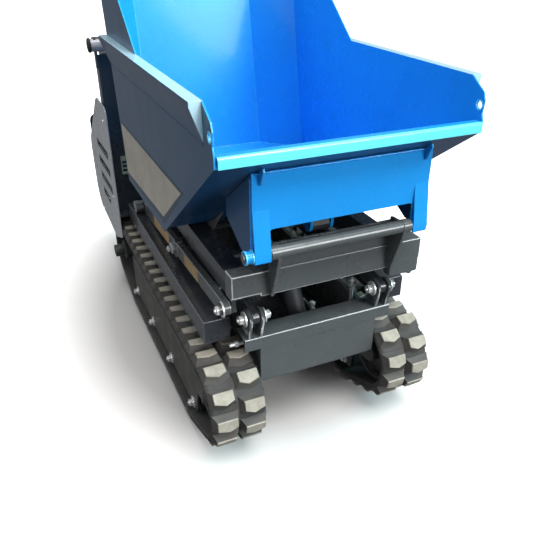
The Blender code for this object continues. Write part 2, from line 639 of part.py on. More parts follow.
def plan_block(name, inset, low, high):
    """An upright block with cut rear corners that leans back with the rear walls."""
    shape = bmesh.new()
    half, back = SKIP_X - inset, SKIP_BACK_Y - inset
    size = (2 * half, back + 1.5, high - low)
    place = Matrix.Translation((0.0, (back - 1.5) / 2, (low + high) / 2)) @ Matrix.Diagonal((*size, 1.0))
    bmesh.ops.create_cube(shape, size=1.0, matrix=place)
    rear_edges = [e for e in shape.edges if all(abs(v.co.y - back) < 1e-5 for v in e.verts)
                  and abs(e.verts[0].co.x - e.verts[1].co.x) < 1e-5]
    corner = SKIP_BACK_Y - SKIP_SIDE_REAR_Y - 0.4142 * inset
    bmesh.ops.bevel(shape, geom=rear_edges, offset=corner, segments=1, affect="EDGES", offset_type="OFFSET")
    reach = max(v.co.x for v in shape.verts if abs(v.co.y - back) < 1e-5)
    scale = corner / max(1e-9, half - reach)
    for vert in shape.verts:
        if abs(vert.co.y - back) < 1e-5:
            vert.co.x = math.copysign(half - corner, vert.co.x)
        elif vert.co.y > -1.0:
            vert.co.y = back - (back - vert.co.y) * scale
        vert.co.y = rear_lean_y(vert.co.y, vert.co.z)
    return from_bmesh(name, shape, BLUE)


def skip():
    """The tub: a folded-sheet shell open at the top, with a bar along its pouring lip."""
    outer_side = [(LIP_Y, LIP_Z), (CHUTE_FOOT_Y, SKIP_FOOT_Z), (0.6, SKIP_FOOT_Z), (0.6, REAR_RIM_Z)]
    outer_side += list(reversed(rim_points(0.0))) + [(LIP_Y, 1.080)]
    tub = profile("skip", outer_side, -0.5, 0.5, BLUE)
    tub = combine(tub, plan_block("plan", 0.0, 0.4, 1.8), "INTERSECT")
    rise = SHEET / math.cos(math.atan2(LIP_Z - SKIP_FOOT_Z, CHUTE_FOOT_Y - LIP_Y))
    floor_z = SKIP_FLOOR_Z + SHEET
    floor_y = CHUTE_FOOT_Y - (floor_z - SKIP_FOOT_Z - rise) * (CHUTE_FOOT_Y - LIP_Y) / (LIP_Z - SKIP_FOOT_Z)
    inner_side = [(LIP_Y - 0.2, chute_z(LIP_Y - 0.2) + rise), (floor_y, floor_z), (0.6, floor_z), (0.6, 1.7),
                  (LIP_Y - 0.2, 1.7)]
    inside = profile("inside", inner_side, -0.5, 0.5)
    inside = combine(inside, plan_block("plan", SHEET, 0.4, 1.8), "INTERSECT")
    tub = cut(tub, inside)
    corner_y = CHUTE_FOOT_Y - (SKIP_FLOOR_Z - SKIP_FOOT_Z) * (CHUTE_FOOT_Y - LIP_Y) / (LIP_Z - SKIP_FOOT_Z)
    under = profile("under", [(corner_y, SKIP_FLOOR_Z), (corner_y, SKIP_FOOT_Z - 0.02),
                              (SKIP_SIDE_REAR_Y - 0.02, SKIP_FOOT_Z - 0.02), (SKIP_SIDE_REAR_Y - 0.02, SKIP_FLOOR_Z)],
                    -SKIP_X + SHEET, SKIP_X - SHEET)
    tub = cut(tub, under)
    lip = box("lip", (-SKIP_X + 0.007, LIP_Y - 0.008, LIP_Z), (SKIP_X - 0.007, LIP_Y + 0.022, LIP_Z + 0.028))
    tub = joined("skip", tub, lip)
    for side in (-1, 1):
        tub = joined("skip", tub, rim_stiffener(side))
    ear_hole = hole(-0.5, 0.5, -0.925, 1.120, 0.010)
    return set_origin(cut(tub, ear_hole), (0.0, TILT_Y, TILT_Z))


def rim_stiffener(side):
    """The folded edge along the top of a side wall, closed at its front end."""
    front, rear = -0.879, rear_lean_y(SKIP_SIDE_REAR_Y, RIM_Z) - 0.004
    wall, out = side * (SKIP_X - 0.002), side * 0.409
    shape = bmesh.new()
    section = ((wall, 1.090), (wall, RIM_Z), (out, RIM_Z), (out, RIM_Z - 0.012))
    rings = [[shape.verts.new((x, y, z)) for x, z in section] for y in (front, rear)]
    count = len(section)
    for k in range(count):
        shape.faces.new((rings[0][k], rings[0][(k + 1) % count], rings[1][(k + 1) % count], rings[1][k]))
    shape.faces.new(rings[0])
    shape.faces.new(list(reversed(rings[1])))
    bmesh.ops.recalc_face_normals(shape, faces=shape.faces)
    return from_bmesh("rim", shape, BLUE)


def skip_hinge_plate():
    """The front apron with two legs, sleeves on the tilt pin, gussets and the cylinder's cheeks."""
    top = chute_z(TILT_Y + 0.003) - 0.001
    plate = box("skip_hinge_plate", (-0.268, TILT_Y - 0.003, TILT_Z), (0.268, TILT_Y + 0.003, top), BLUE)
    window = box("window", (-0.222, TILT_Y - 0.02, 0.70), (0.222, TILT_Y + 0.02, 0.855))
    plate = cut(plate, window)
    pieces = []
    gusset = [(TILT_Y, 0.7675), (-0.810, 0.770), (-0.699, 0.826), (-0.699, chute_z(-0.699) - 0.001),
              (TILT_Y, top)]
    for side in (-1, 1):
        far = -0.292 if side < 0 else 0.2715
        pieces.append(rod("sleeve", (side * 0.2205, TILT_Y, TILT_Z), (far, TILT_Y, TILT_Z), 0.0175, sides=18))
        low, high = sorted((side * 0.262, side * 0.2675))
        pieces.append(profile("gusset", gusset, low, high))
    front, rear = TIP_EYE[0] - 0.040, TIP_EYE[0] + 0.035
    pieces.append(box("shelf", (-0.265, front - 0.003, 0.850), (0.265, front + 0.003, chute_z(front + 0.003) - 0.001)))
    cheek = [(rear, chute_z(rear) - 0.002), (front, chute_z(front) - 0.002)]
    cheek += arc(TIP_EYE, 0.022, 180, 360, 5)
    for x in (-0.038, 0.029):
        pieces.append(profile("cheek", cheek, x, x + 0.009))
    made = joined("skip_hinge_plate", plate, *pieces)
    for side in (-1, 1):
        low, high = sorted((side * 0.20, side * 0.31))
        made = cut(made, hole(low, high, TILT_Y, TILT_Z, PIN_R + RUN))
    return set_origin(made, (0.0, TILT_Y, TILT_Z))


# --- Rear housing and controls -----------------------------------------------------------------
def side_cover(name, side):
    """The rounded side panel with four cooling slots."""
    outline = ([(0.335, 0.320), (0.335, 0.895)] + arc((0.500, 0.760), 0.140, 100, 60, 4)
               + arc((0.800, 0.560), 0.115, 45, 0, 4) + arc((0.790, 0.400), 0.120, 0, -70, 5) + [(0.480, 0.262)])
    low, high = sorted((side * 0.3957, side * 0.4000))
    panel = profile(name, outline, low, high, COVER)
    for k in range(4):
        z = 0.420 + 0.080 * k
        slot = box("slot", (low - 0.01, 0.530 if k == 0 else 0.435, z), (high + 0.01, 0.670, z + 0.018))
        panel = cut(panel, slot)
    inner = side * (HOUSING_X + GAP)
    spots = ((0.430, 0.480), (0.430, 0.820), (0.880, 0.415))
    spacers = [rod("spacer", (inner, *at), (side * 0.397, *at), 0.012, sides=12) for at in spots]
    return joined(name, panel, *spacers)


def bulkhead():
    """The wall between the skip and the engine bay, folded back at its sides, with a bar over it."""
    foot = DECK_Z + 0.010 + GAP
    wall = box("bulkhead", (-HOUSING_X, REAR_WALL_Y, foot), (HOUSING_X, REAR_WALL_Y + 0.004, 1.090), DARK)
    returns = [box("return", (x, REAR_WALL_Y + 0.002, foot), (x + 0.004, REAR_WALL_Y + 0.060, 1.090))
               for x in (-HOUSING_X, HOUSING_X - 0.004)]
    y, z = REAR_WALL_Y + 0.002, 1.150
    bar = rod("bar", (-0.405, y, z), (0.405, y, z), 0.007, DARK, 10)
    posts = [box("post", (x, y - 0.014, 1.040), (x + 0.0085, y + 0.014, z + 0.006)) for x in (-0.3995, 0.391)]
    return joined("bulkhead", wall, *returns, bar, *posts)


def rear_deck():
    """The floor under the engine bay, folded down and up at the rear, with the footboard's lugs."""
    top = DECK_Z + 0.010
    deck = box("rear_deck", (-HOUSING_X, 0.350, DECK_Z), (HOUSING_X, 0.900, top), DARK)
    skirt = box("skirt", (-HOUSING_X, 0.894, 0.300), (HOUSING_X, 0.900, DECK_Z + 0.002))
    wall = box("wall", (-HOUSING_X, 0.893, top - 0.002), (HOUSING_X, 0.897, 0.740))
    upper = box("upper", (-0.285, 0.893, 0.730), (0.285, 0.897, 0.8897))
    made = joined("rear_deck", deck, skirt, wall, upper)
    lug = [(0.898, 0.330), (0.895, 0.330), (0.895, 0.306)] + arc((FOOTBOARD_Y, FOOTBOARD_Z), 0.014, 180, 360, 6)
    for x in (-0.210, 0.202):
        made = joined("rear_deck", made, profile("lug", lug, x, x + 0.008))
    return cut(made, hole(-0.25, 0.25, FOOTBOARD_Y, FOOTBOARD_Z, 0.0065))


def engine():
    """The petrol engine with its starter cowl, and the hydraulic pump bolted on its shaft end."""
    block = box("engine", (-0.300, 0.480, 0.4203), (-0.020, 0.760, 0.640), IRON)
    head = box("head", (-0.280, 0.520, 0.630), (-0.060, 0.720, 0.780))
    cowl = rod("cowl", (-0.310, 0.620, 0.560), (-0.355, 0.620, 0.560), 0.105, sides=20)
    neck = rod("neck", (-0.290, 0.620, 0.560), (-0.320, 0.620, 0.560), 0.090, sides=20)
    shaft = rod("shaft", (-0.030, 0.620, 0.540), (0.030, 0.620, 0.540), 0.030)
    pump = rod("pump", (0.019, 0.620, 0.540), (0.150, 0.620, 0.540), 0.045, DARK, 16)
    foot = box("foot", (0.060, 0.590, 0.4203), (0.130, 0.650, 0.510))
    return joined("engine", block, head, neck, cowl, shaft, pump, foot)


def hydraulic_tank():
    tank = box("hydraulic_tank", (0.185, 0.460, 0.4203), (0.370, 0.800, 0.800), DARK)
    return joined("hydraulic_tank", tank, rod("cap", (0.280, 0.540, 0.795), (0.280, 0.540, 0.830), 0.028))


def fuel_tank():
    tank = box("fuel_tank", (-0.305, 0.470, 0.780 + GAP), (0.120, 0.780, 0.890), DARK)
    neck = rod("neck", (-0.120, 0.540, 0.880), (-0.120, 0.540, 0.915), 0.032)
    return joined("fuel_tank", tank, neck)


def console_flank(side):
    """What is cut from one side of the console, which narrows towards the person who stands behind it."""
    shape = bmesh.new()
    corners = [(side * 0.373, 0.455), (side * 0.310, 0.900), (side * 0.500, 0.900), (side * 0.500, 0.455)]
    low, high = ([shape.verts.new((x, y, z)) for x, y in corners] for z in (0.850, 1.200))
    shape.faces.new(low)
    shape.faces.new(list(reversed(high)))
    for k in range(4):
        shape.faces.new((low[k], low[(k + 1) % 4], high[(k + 1) % 4], high[k]))
    bmesh.ops.recalc_face_normals(shape, faces=shape.faces)
    return from_bmesh("flank", shape, DARK)


def control_console():
    """The sloping top panel that the levers stand in, with the shaft that they turn on."""
    front = REAR_WALL_Y + 0.060 + GAP
    side = [(front, 0.960), (front, 1.086), (0.560, 1.090), (0.860, 0.985), (0.892, 0.930), (0.892, 0.890),
            (0.860, 0.925), (0.560, 0.960)]
    panel = profile("control_console", side, -0.372, 0.372, DARK)
    for edge in (-1, 1):
        panel = cut(panel, console_flank(edge))
    for x in LEVERS.values():
        panel = cut(panel, box("slot", (x - 0.008, LEVER_Y - 0.045, 0.85), (x + 0.008, LEVER_Y + 0.045, 1.2)))
    shaft = rod("shaft", (-0.212, LEVER_Y, LEVER_Z), (0.212, LEVER_Y, LEVER_Z), 0.005, sides=10)
    hangers = [box("hanger", (x, LEVER_Y - 0.010, LEVER_Z - 0.010), (x + 0.008, LEVER_Y + 0.010, 0.960))
               for x in (-0.212, 0.204)]
    return joined("control_console", panel, shaft, *hangers)


def handlebar():
    """The operator's bar: a bent tube on two uprights behind the console."""
    curve = bpy.data.curves.new("bar", "CURVE")
    curve.dimensions = "3D"
    curve.bevel_depth = 0.014
    curve.bevel_resolution = 2
    curve.use_fill_caps = True
    spline = curve.splines.new("POLY")
    bend, half, top, reach = 0.050, 0.290, 1.050, HANDLE_BACK_Y - HANDLE_Y
    route = [(-half, HANDLE_Y, 0.520), (-half, HANDLE_Y, top - bend)]
    route += [(-half + bend - bend * math.cos(a), HANDLE_Y + reach * math.sin(a), top - bend + bend * math.sin(a))
              for a in (math.radians(30), math.radians(60), math.radians(90))]
    route += [(-x, y, z) for x, y, z in reversed(route)]
    spline.points.add(len(route) - 1)
    for spot, place in zip(spline.points, route):
        spot.co = (*place, 1.0)
    obj = bpy.data.objects.new("handlebar_curve", curve)
    MACHINE.objects.link(obj)
    bpy.context.view_layer.update()
    return baked(obj, "handlebar", DARK)


def control_lever(name, x):
    foot = (x, LEVER_Y, LEVER_Z)
    stem = rod(name, foot, (x, LEVER_Y + 0.020, 1.130), 0.006, ZINC, 10)
    knob = rod("knob", (x, LEVER_Y + 0.018, 1.110), (x, LEVER_Y + 0.024, 1.170), 0.014, GRIP, 12)
    hub = rod("hub", (x - 0.012, LEVER_Y, LEVER_Z), (x + 0.012, LEVER_Y, LEVER_Z), 0.012, GREY, 12)
    made = joined(name, stem, knob, hub)
    return set_origin(cut(made, hole(x - 0.02, x + 0.02, LEVER_Y, LEVER_Z, 0.0056)), foot)


def footboard():
    """The fold-down platform the operator rides on, shown folded up."""
    y, z = FOOTBOARD_Y, FOOTBOARD_Z
    board = box("footboard", (-0.195, y - 0.006, z), (0.195, y + 0.006, z + 0.265), DARK)
    barrel = rod("barrel", (-0.200, y, z), (0.200, y, z), 0.010)
    pin = rod("pin", (-0.215, y, z), (0.215, y, z), 0.0055, sides=12)
    return set_origin(joined("footboard", board, barrel, pin), (0.0, y, z))


def both(make, stem, *args):
    """Makes the left and right copy of a piece."""
    return [make(f"{stem}_{word}", side, *args) for word, side in (("left", -1), ("right", 1))]


def build():
    both(track_frame, "track_frame")
    both(rubber_track, "rubber_track")
    both(idler_wheel, "idler_wheel")
    both(drive_sprocket, "drive_sprocket")
    both(drive_motor, "drive_motor")
    for k in range(ROLLERS):
        both(bottom_roller, f"bottom_roller_{k + 1}", ROLLER_Y0 + k * ROLLER_STEP)
    chassis_frame()
    chassis_front_beam()
    both(chassis_channel, "chassis_channel")
    both(scissor_arm, "inner_arm", False)
    both(scissor_arm, "outer_arm", True)
    both(arm_roller, "inner_arm_roller", False)
    both(arm_roller, "outer_arm_roller", True)
    inner_cross_tube()
    outer_cross_tube()
    both(middle_pin, "middle_pin")
    lift_eye = along((PIVOT_Y, LOW_PIVOT_Z), ARM_REST, LIFT_EYE_AT)
    cylinder_barrel("lift_cylinder_barrel", LIFT_BASE, lift_eye, 0.037, 0.0208, 0.212, 0.022, 0.0290)
    cylinder_rod("lift_cylinder_rod", LIFT_BASE, lift_eye, 0.020, 0.058, 0.022, 0.0290)
    cylinder_barrel("tip_cylinder_barrel", TIP_BASE, TIP_EYE, 0.024, 0.0168, 0.365, 0.021, 0.0270)
    cylinder_rod("tip_cylinder_rod", TIP_BASE, TIP_EYE, 0.016, 0.060, 0.021, 0.0270)
    both(subframe_rail, "subframe_rail")
    subframe_front_beam()
    subframe_cross_member()
    tilt_bracket()
    skip()
    skip_hinge_plate()
    rear_deck()
    bulkhead()
    engine()
    hydraulic_tank()
    fuel_tank()
    both(side_cover, "side_cover")
    control_console()
    handlebar()
    for name, x in LEVERS.items():
        control_lever(name, x)
    footboard()


build()
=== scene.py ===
"""The looks of the power wheelbarrow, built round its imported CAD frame."""
import json
import math

import bmesh
import bpy
from mathutils import Matrix, Vector
from mathutils.noise import noise

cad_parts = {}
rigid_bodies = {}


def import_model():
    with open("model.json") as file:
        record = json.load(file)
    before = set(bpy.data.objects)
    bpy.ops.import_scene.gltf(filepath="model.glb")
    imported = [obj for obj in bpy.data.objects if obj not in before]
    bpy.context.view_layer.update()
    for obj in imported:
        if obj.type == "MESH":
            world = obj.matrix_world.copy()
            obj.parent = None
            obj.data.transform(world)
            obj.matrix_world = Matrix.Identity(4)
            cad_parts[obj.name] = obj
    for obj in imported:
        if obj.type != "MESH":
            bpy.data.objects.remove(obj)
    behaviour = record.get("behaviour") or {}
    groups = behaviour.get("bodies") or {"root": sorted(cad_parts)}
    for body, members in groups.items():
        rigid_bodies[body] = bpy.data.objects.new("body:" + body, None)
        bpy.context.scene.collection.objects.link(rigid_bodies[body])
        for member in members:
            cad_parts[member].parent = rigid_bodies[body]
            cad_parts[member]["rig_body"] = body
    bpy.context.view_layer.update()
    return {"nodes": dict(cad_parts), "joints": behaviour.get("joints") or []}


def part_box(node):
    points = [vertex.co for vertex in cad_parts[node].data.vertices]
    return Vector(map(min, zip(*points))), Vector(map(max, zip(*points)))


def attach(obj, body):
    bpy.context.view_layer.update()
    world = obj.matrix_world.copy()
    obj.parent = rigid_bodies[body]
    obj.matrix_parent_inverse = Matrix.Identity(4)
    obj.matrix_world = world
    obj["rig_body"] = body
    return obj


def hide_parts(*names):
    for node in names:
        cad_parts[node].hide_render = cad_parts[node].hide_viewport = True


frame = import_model()
SIDES = (("left", -1), ("right", 1))


# --- Places read from the frame ----------------------------------------------------------------
def middle(node):
    low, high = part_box(node)
    return (low + high) / 2


def size(node):
    low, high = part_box(node)
    return high - low


ROLLER_NAMES = [f"bottom_roller_{k}" for k in range(1, 5)]
LEVER_NAMES = ("travel_lever_left", "travel_lever_right", "lift_lever", "tip_lever")
HINGES = {row["name"]: Vector(row["pos_m"]) for row in frame["joints"] if "pos_m" in row}
LIFT_AXIS = HINGES["lift"]
TIP_AXIS = HINGES["skip_tip"]
TRACK_X = middle("idler_wheel_right").x
BELT_LOW, BELT_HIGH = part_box("rubber_track_right")
GROUND = BELT_LOW.z
SKIP_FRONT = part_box("skip")[0].y
SKIP_WALL = 0.379                                             # outer face of the skip's side walls
OUTER_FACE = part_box("subframe_rail_right")[1].x - 0.0105      # outer faces of the outer arms
COVER_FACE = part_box("side_cover_right")[1].x
BULKHEAD_FACE = 0.400                                         # front face of the bulkhead's panel
REAR_FACE = 0.897                                             # rear face of the housing's rear wall
TOP_EDGE = (0.0, 0.402, 1.1265)                               # middle of the rolled edge over the bulkhead


# --- Materials ---------------------------------------------------------------------------------
class Nodes:
    """Short calls for building one material's node tree."""

    def __init__(self, name, roughness, metallic=0.0):
        self.material = bpy.data.materials.new(name)
        self.material.use_nodes = True
        self.tree = self.material.node_tree
        self.shader = self.tree.nodes["Principled BSDF"]
        self.shader.inputs["Metallic"].default_value = metallic
        self.shader.inputs["Roughness"].default_value = roughness
        self.place = self.tree.nodes.new("ShaderNodeTexCoord").outputs["Object"]

    def add(self, kind, **settings):
        made = self.tree.nodes.new(kind)
        for key, value in settings.items():
            setattr(made, key, value)
        return made

    def link(self, source, target):
        self.tree.links.new(source, target)

    def noise(self, scale, detail=4.0, roughness=0.5, stretch=None):
        made = self.add("ShaderNodeTexNoise")
        made.inputs["Scale"].default_value = scale
        made.inputs["Detail"].default_value = detail
        made.inputs["Roughness"].default_value = roughness
        source = self.place
        if stretch:
            mapping = self.add("ShaderNodeMapping")
            mapping.inputs["Scale"].default_value = stretch
            self.link(self.place, mapping.inputs["Vector"])
            source = mapping.outputs["Vector"]
        self.link(source, made.inputs["Vector"])
        return made.outputs["Fac"]

    def ramp(self, value, low, high, first=(0, 0, 0, 1), last=(1, 1, 1, 1)):
        made = self.add("ShaderNodeValToRGB")
        made.color_ramp.elements[0].position = low
        made.color_ramp.elements[1].position = high
        made.color_ramp.elements[0].color = first
        made.color_ramp.elements[1].color = last
        self.link(value, made.inputs["Fac"])
        return made.outputs["Color"]

    def mix(self, share, first, last):
        made = self.add("ShaderNodeMix", data_type="RGBA")
        for socket, value in ((made.inputs[0], share), (made.inputs[6], first), (made.inputs[7], last)):
            if isinstance(value, bpy.types.NodeSocket):
                self.link(value, socket)
            elif socket is made.inputs[0]:
                socket.default_value = value
            else:
                socket.default_value = (*value[:3], 1.0)
        return made.outputs[2]

    def math(self, operation, first, last, clamp=True):
        made = self.add("ShaderNodeMath", operation=operation, use_clamp=clamp)
        for socket, value in zip(made.inputs, (first, last)):
            if isinstance(value, bpy.types.NodeSocket):
                self.link(value, socket)
            else:
                socket.default_value = value
        return made.outputs[0]

    def upward(self):
        """How far a surface faces up, from 0 to 1."""
        geometry = self.add("ShaderNodeNewGeometry")
        parts = self.add("ShaderNodeSeparateXYZ")
        self.link(geometry.outputs["Normal"], parts.inputs[0])
        return self.math("MAXIMUM", parts.outputs["Z"], 0.0)

    def colour(self, source):
        self.link(source, self.shader.inputs["Base Color"])

    def rough(self, low, high, scale=9.0):
        spread = self.add("ShaderNodeMapRange")
        spread.inputs["To Min"].default_value = low
        spread.inputs["To Max"].default_value = high
        self.link(self.noise(scale, 5.0, 0.6), spread.inputs["Value"])
        self.link(spread.outputs["Result"], self.shader.inputs["Roughness"])

    def bump(self, height, strength, distance=0.001):
        made = self.add("ShaderNodeBump")
        made.inputs["Strength"].default_value = strength
        made.inputs["Distance"].default_value = distance
        self.link(height, made.inputs["Height"])
        self.link(made.outputs["Normal"], self.shader.inputs["Normal"])


DUST = (0.36, 0.33, 0.28)


def enamel(name, colour, dust=0.10, low=0.22, high=0.34, coat=0.35, peel=0.05):
    """Sprayed paint: a faint orange peel, slow shifts of tone, and dust that settles on what faces up."""
    made = Nodes(name, low)
    dark = [c * 0.86 for c in colour]
    tone = made.mix(made.ramp(made.noise(2.2, 3.0), 0.35, 0.70), colour, dark)
    settled = made.math("MULTIPLY", made.ramp(made.noise(14.0, 8.0, 0.62), 0.48, 0.74), dust)
    settled = made.math("MULTIPLY", settled, made.math("ADD", made.upward(), 0.35))
    made.colour(made.mix(settled, tone, DUST))
    made.rough(low, high)
    made.bump(made.noise(260.0, 2.0), peel, 0.0006)
    made.shader.inputs["Coat Weight"].default_value = coat
    made.shader.inputs["Coat Roughness"].default_value = 0.08
    return made.material


def rubber(name, colour, dust):
    made = Nodes(name, 0.8)
    grime = made.ramp(made.noise(38.0, 10.0, 0.7), 0.30, 0.72)
    tone = made.mix(grime, colour, [min(1.0, c * 1.9) for c in colour])
    made.colour(made.mix(made.math("MULTIPLY", made.noise(11.0, 6.0, 0.6), dust), tone, DUST))
    made.rough(0.62, 0.92, 30.0)
    made.bump(made.noise(420.0, 6.0, 0.7), 0.35, 0.0012)
    return made.material


def metal(name, colour, low, high, stretch=(1.0, 1.0, 1.0), dirt=0.25, metallic=1.0):
    made = Nodes(name, low, metallic)
    stain = made.ramp(made.noise(60.0, 8.0, 0.65), 0.45, 0.80)
    made.colour(made.mix(made.math("MULTIPLY", stain, dirt), colour, (0.12, 0.10, 0.08)))
    made.rough(low, high, 40.0)
    made.bump(made.noise(500.0, 3.0, 0.5, stretch), 0.12, 0.0004)
    return made.material


def plain_label(name, colour, rim):
    """A printed panel with no lettering, slightly faded in patches."""
    made = Nodes(name, 0.42)
    made.colour(made.mix(made.ramp(made.noise(9.0, 6.0, 0.6), 0.35, 0.75), colour, rim))
    made.rough(0.34, 0.5)
    made.bump(made.noise(180.0, 3.0), 0.04, 0.0003)
    return made.material


BLUE = enamel("skip enamel", (0.014, 0.300, 0.800), dust=0.04, low=0.22, high=0.32, coat=0.16)
# Painted highlight: bright cyan paint for the skip's rounded edges and folds, also worn by the ears' grommets
# and the sleeve rings.
BLUE_FOLD_HIGHLIGHT = enamel("skip enamel, painted fold highlight", (0.130, 0.680, 0.980), dust=0.0, low=0.16, high=0.24, coat=0.6)
# Painted shade: dark grey-blue for the skip's outer walls, the rim's slanted faces and the rim fold bars.
SHADE = enamel("side wall painted shade", (0.016, 0.070, 0.160), dust=0.04, low=0.24, high=0.36, coat=0.2)
# Painted shade: darker blue for the chute's downward faces and the apron's side gussets.
UNDERSIDE_SHADE = enamel("chute underside painted shade", (0.012, 0.082, 0.215), dust=0.04, low=0.30, high=0.44, coat=0.1)
# Painted highlight: pale cyan-white for the rim tops and the stiffeners' front caps.
RIM_HIGHLIGHT = enamel("rim top painted highlight", (0.520, 0.790, 0.920), dust=0.0, low=0.16, high=0.26, coat=0.5)
# Painted highlight: bright cyan for the front of the pouring lip.
LIP_HIGHLIGHT = enamel("lip painted highlight", (0.150, 0.800, 0.900), dust=0.0, low=0.16, high=0.26, coat=0.5)
GREY = enamel("frame enamel", (0.082, 0.092, 0.095), dust=0.12)
# Painted highlight: near-white paint along the frame's rounded edges and folds.
GREY_FOLD_HIGHLIGHT = enamel("frame enamel, painted fold highlight", (0.520, 0.530, 0.540), dust=0.05, low=0.18, high=0.30, coat=0.5)
GUIDE = enamel("guide plate paint", (0.20, 0.21, 0.22), dust=0.12)
DARK = enamel("dark enamel", (0.030, 0.034, 0.042), dust=0.10)
# Painted highlight: lighter paint along the rounded edges of dark parts, the bulkhead and the track frames.
DARK_FOLD_HIGHLIGHT = enamel("dark enamel, painted fold highlight", (0.110, 0.118, 0.135), dust=0.05, low=0.18, high=0.30)
MATT = enamel("cylinder paint", (0.026, 0.028, 0.034), dust=0.10, low=0.48, high=0.62, coat=0.0)
COLUMN = enamel("bulkhead enamel", (0.050, 0.058, 0.072), dust=0.10)
ROLL = enamel("rolled edge paint", (0.60, 0.60, 0.61), dust=0.10)
COVER = enamel("cover enamel", (0.50, 0.52, 0.54), dust=0.12)
CAST = enamel("cast iron paint", (0.028, 0.030, 0.033), dust=0.45, low=0.42, high=0.62, coat=0.0, peel=0.35)
SOILED = enamel("track frame paint", (0.066, 0.062, 0.054), dust=0.60, low=0.45, high=0.65, coat=0.0,
                peel=0.25)
BELT = rubber("belt rubber", (0.017, 0.017, 0.018), 0.10)
LUG = rubber("lug rubber", (0.022, 0.022, 0.022), 0.22)
DUSTY = rubber("dusty lug face", (0.215, 0.198, 0.165), 0.42)
ZINC = metal("zinc plate", (0.86, 0.87, 0.86), 0.20, 0.36, dirt=0.12, metallic=0.55)
CHROME = metal("hard chrome", (0.78, 0.79, 0.81), 0.06, 0.12, dirt=0.05)
BRIGHT = metal("worn steel", (0.56, 0.55, 0.53), 0.28, 0.48, metallic=0.8)
GRIP = rubber("grip rubber", (0.015, 0.015, 0.016), 0.05)
NAVY = enamel("navy print", (0.012, 0.040, 0.085), dust=0.10, low=0.3, high=0.45, coat=0.2)
PANEL = plain_label("side panel print", (0.50, 0.47, 0.40), (0.38, 0.355, 0.30))
TAN = plain_label("arm label print", (0.46, 0.31, 0.14), (0.32, 0.22, 0.10))
PALE = plain_label("pale label print", (0.60, 0.64, 0.44), (0.48, 0.52, 0.36))
WELD = metal("weld bead", (0.22, 0.23, 0.24), 0.35, 0.55, dirt=0.1, metallic=0.7)
BLUE_WELD = enamel("painted weld", (0.020, 0.330, 0.900), dust=0.0, low=0.20, high=0.30, coat=0.5)
RED = plain_label("red reflector", (0.42, 0.012, 0.010), (0.30, 0.010, 0.010))
BLUE.node_tree.nodes["Principled BSDF"].inputs["Specular Tint"].default_value = (0.30, 0.80, 1.0, 1.0)

# Each paint's lighter twin for its rounded edges: a painted highlight along the edge.
FOLD_HIGHLIGHTS = {BLUE.name: BLUE_FOLD_HIGHLIGHT, GREY.name: GREY_FOLD_HIGHLIGHT, DARK.name: DARK_FOLD_HIGHLIGHT, COLUMN.name: DARK_FOLD_HIGHLIGHT}


# --- Mesh helpers ------------------------------------------------------------------------------
def piece(name, shape, paint, body, replaced=(), smooth=32.0):
    """A finished piece from a bmesh: painted, smoothed by angle, riding on its body."""
    mesh = bpy.data.meshes.new(name)
    bmesh.ops.recalc_face_normals(shape, faces=shape.faces)
    shape.to_mesh(mesh)
    shape.free()
    for each in paint if isinstance(paint, list) else [paint]:
        mesh.materials.append(each)
    mesh.shade_smooth()
    mesh.set_sharp_from_angle(angle=math.radians(smooth))
    obj = bpy.data.objects.new(name, mesh)
    flat = obj.modifiers.new("flat faces stay flat", "WEIGHTED_NORMAL")
    flat.keep_sharp = True
    bpy.context.scene.collection.objects.link(obj)
    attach(obj, body)
    if replaced:
        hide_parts(*replaced)
    return obj


def node_shape(node):
    """A CAD node's own solid as clean polygons."""
    shape = bmesh.new()
    shape.from_mesh(frame["nodes"][node].data)
    bmesh.ops.remove_doubles(shape, verts=shape.verts, dist=0.00002)
    bmesh.ops.dissolve_limit(shape, angle_limit=math.radians(1.0), verts=shape.verts, edges=shape.edges)
    return shape


def softened(node, paint, width, prepare=None):
    """Stands for a CAD node: the same solid with its sharp edges rounded."""
    shape = node_shape(node)
    if prepare:
        prepare(shape)
    round_edges(shape, width)
    paints = paint if isinstance(paint, list) else [paint, FOLD_HIGHLIGHTS.get(paint.name, paint)]
    return piece(node + "_finish", shape, paints, body_of(node), [node])


def body_of(node):
    return frame["nodes"][node]["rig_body"]


def round_edges(shape, width, segments=2, angle=34.0, edges_given=None):
    """Rounds the given edges, or every sharp one; the rounded strip takes the second paint."""
    shape.normal_update()
    limit = math.radians(angle)
    edges = edges_given or [e for e in shape.edges
                            if len(e.link_faces) == 2 and e.calc_face_angle(0.0) > limit]
    bmesh.ops.bevel(shape, geom=edges, offset=width, segments=segments, profile=0.6, affect="EDGES",
                    clamp_overlap=edges_given is None, offset_type="OFFSET", material=1)
    return shape


def edges_near(shape, test):
    """The edges whose two ends both pass a test."""
    return [e for e in shape.edges if all(test(v.co) for v in e.verts)]


def block(shape, low, high, bevel=0.0):
    """Adds a box, with rounded edges if asked."""
    low, high = Vector(low), Vector(high)
    extent = high - low
    place = Matrix.Translation((low + high) / 2) @ Matrix.Diagonal((*extent, 1.0))
    made = bmesh.ops.create_cube(shape, size=1.0, matrix=place)
    if bevel:
        edges = list(dict.fromkeys(e for v in made["verts"] for e in v.link_edges))
        bmesh.ops.bevel(shape, geom=edges, offset=bevel, segments=2, profile=0.6, affect="EDGES")
    return shape


def bar(shape, start, end, radius, sides=24, tip=None):
    """Adds a round bar between two points; tip is its radius at the far end."""
    start, end = Vector(start), Vector(end)
    turn = (end - start).to_track_quat("Z", "Y").to_matrix().to_4x4()
    bmesh.ops.create_cone(shape, cap_ends=True, segments=sides, radius1=radius, depth=(end - start).length,
                          radius2=radius if tip is None else tip,
                          matrix=Matrix.Translation((start + end) / 2) @ turn)
    return shape


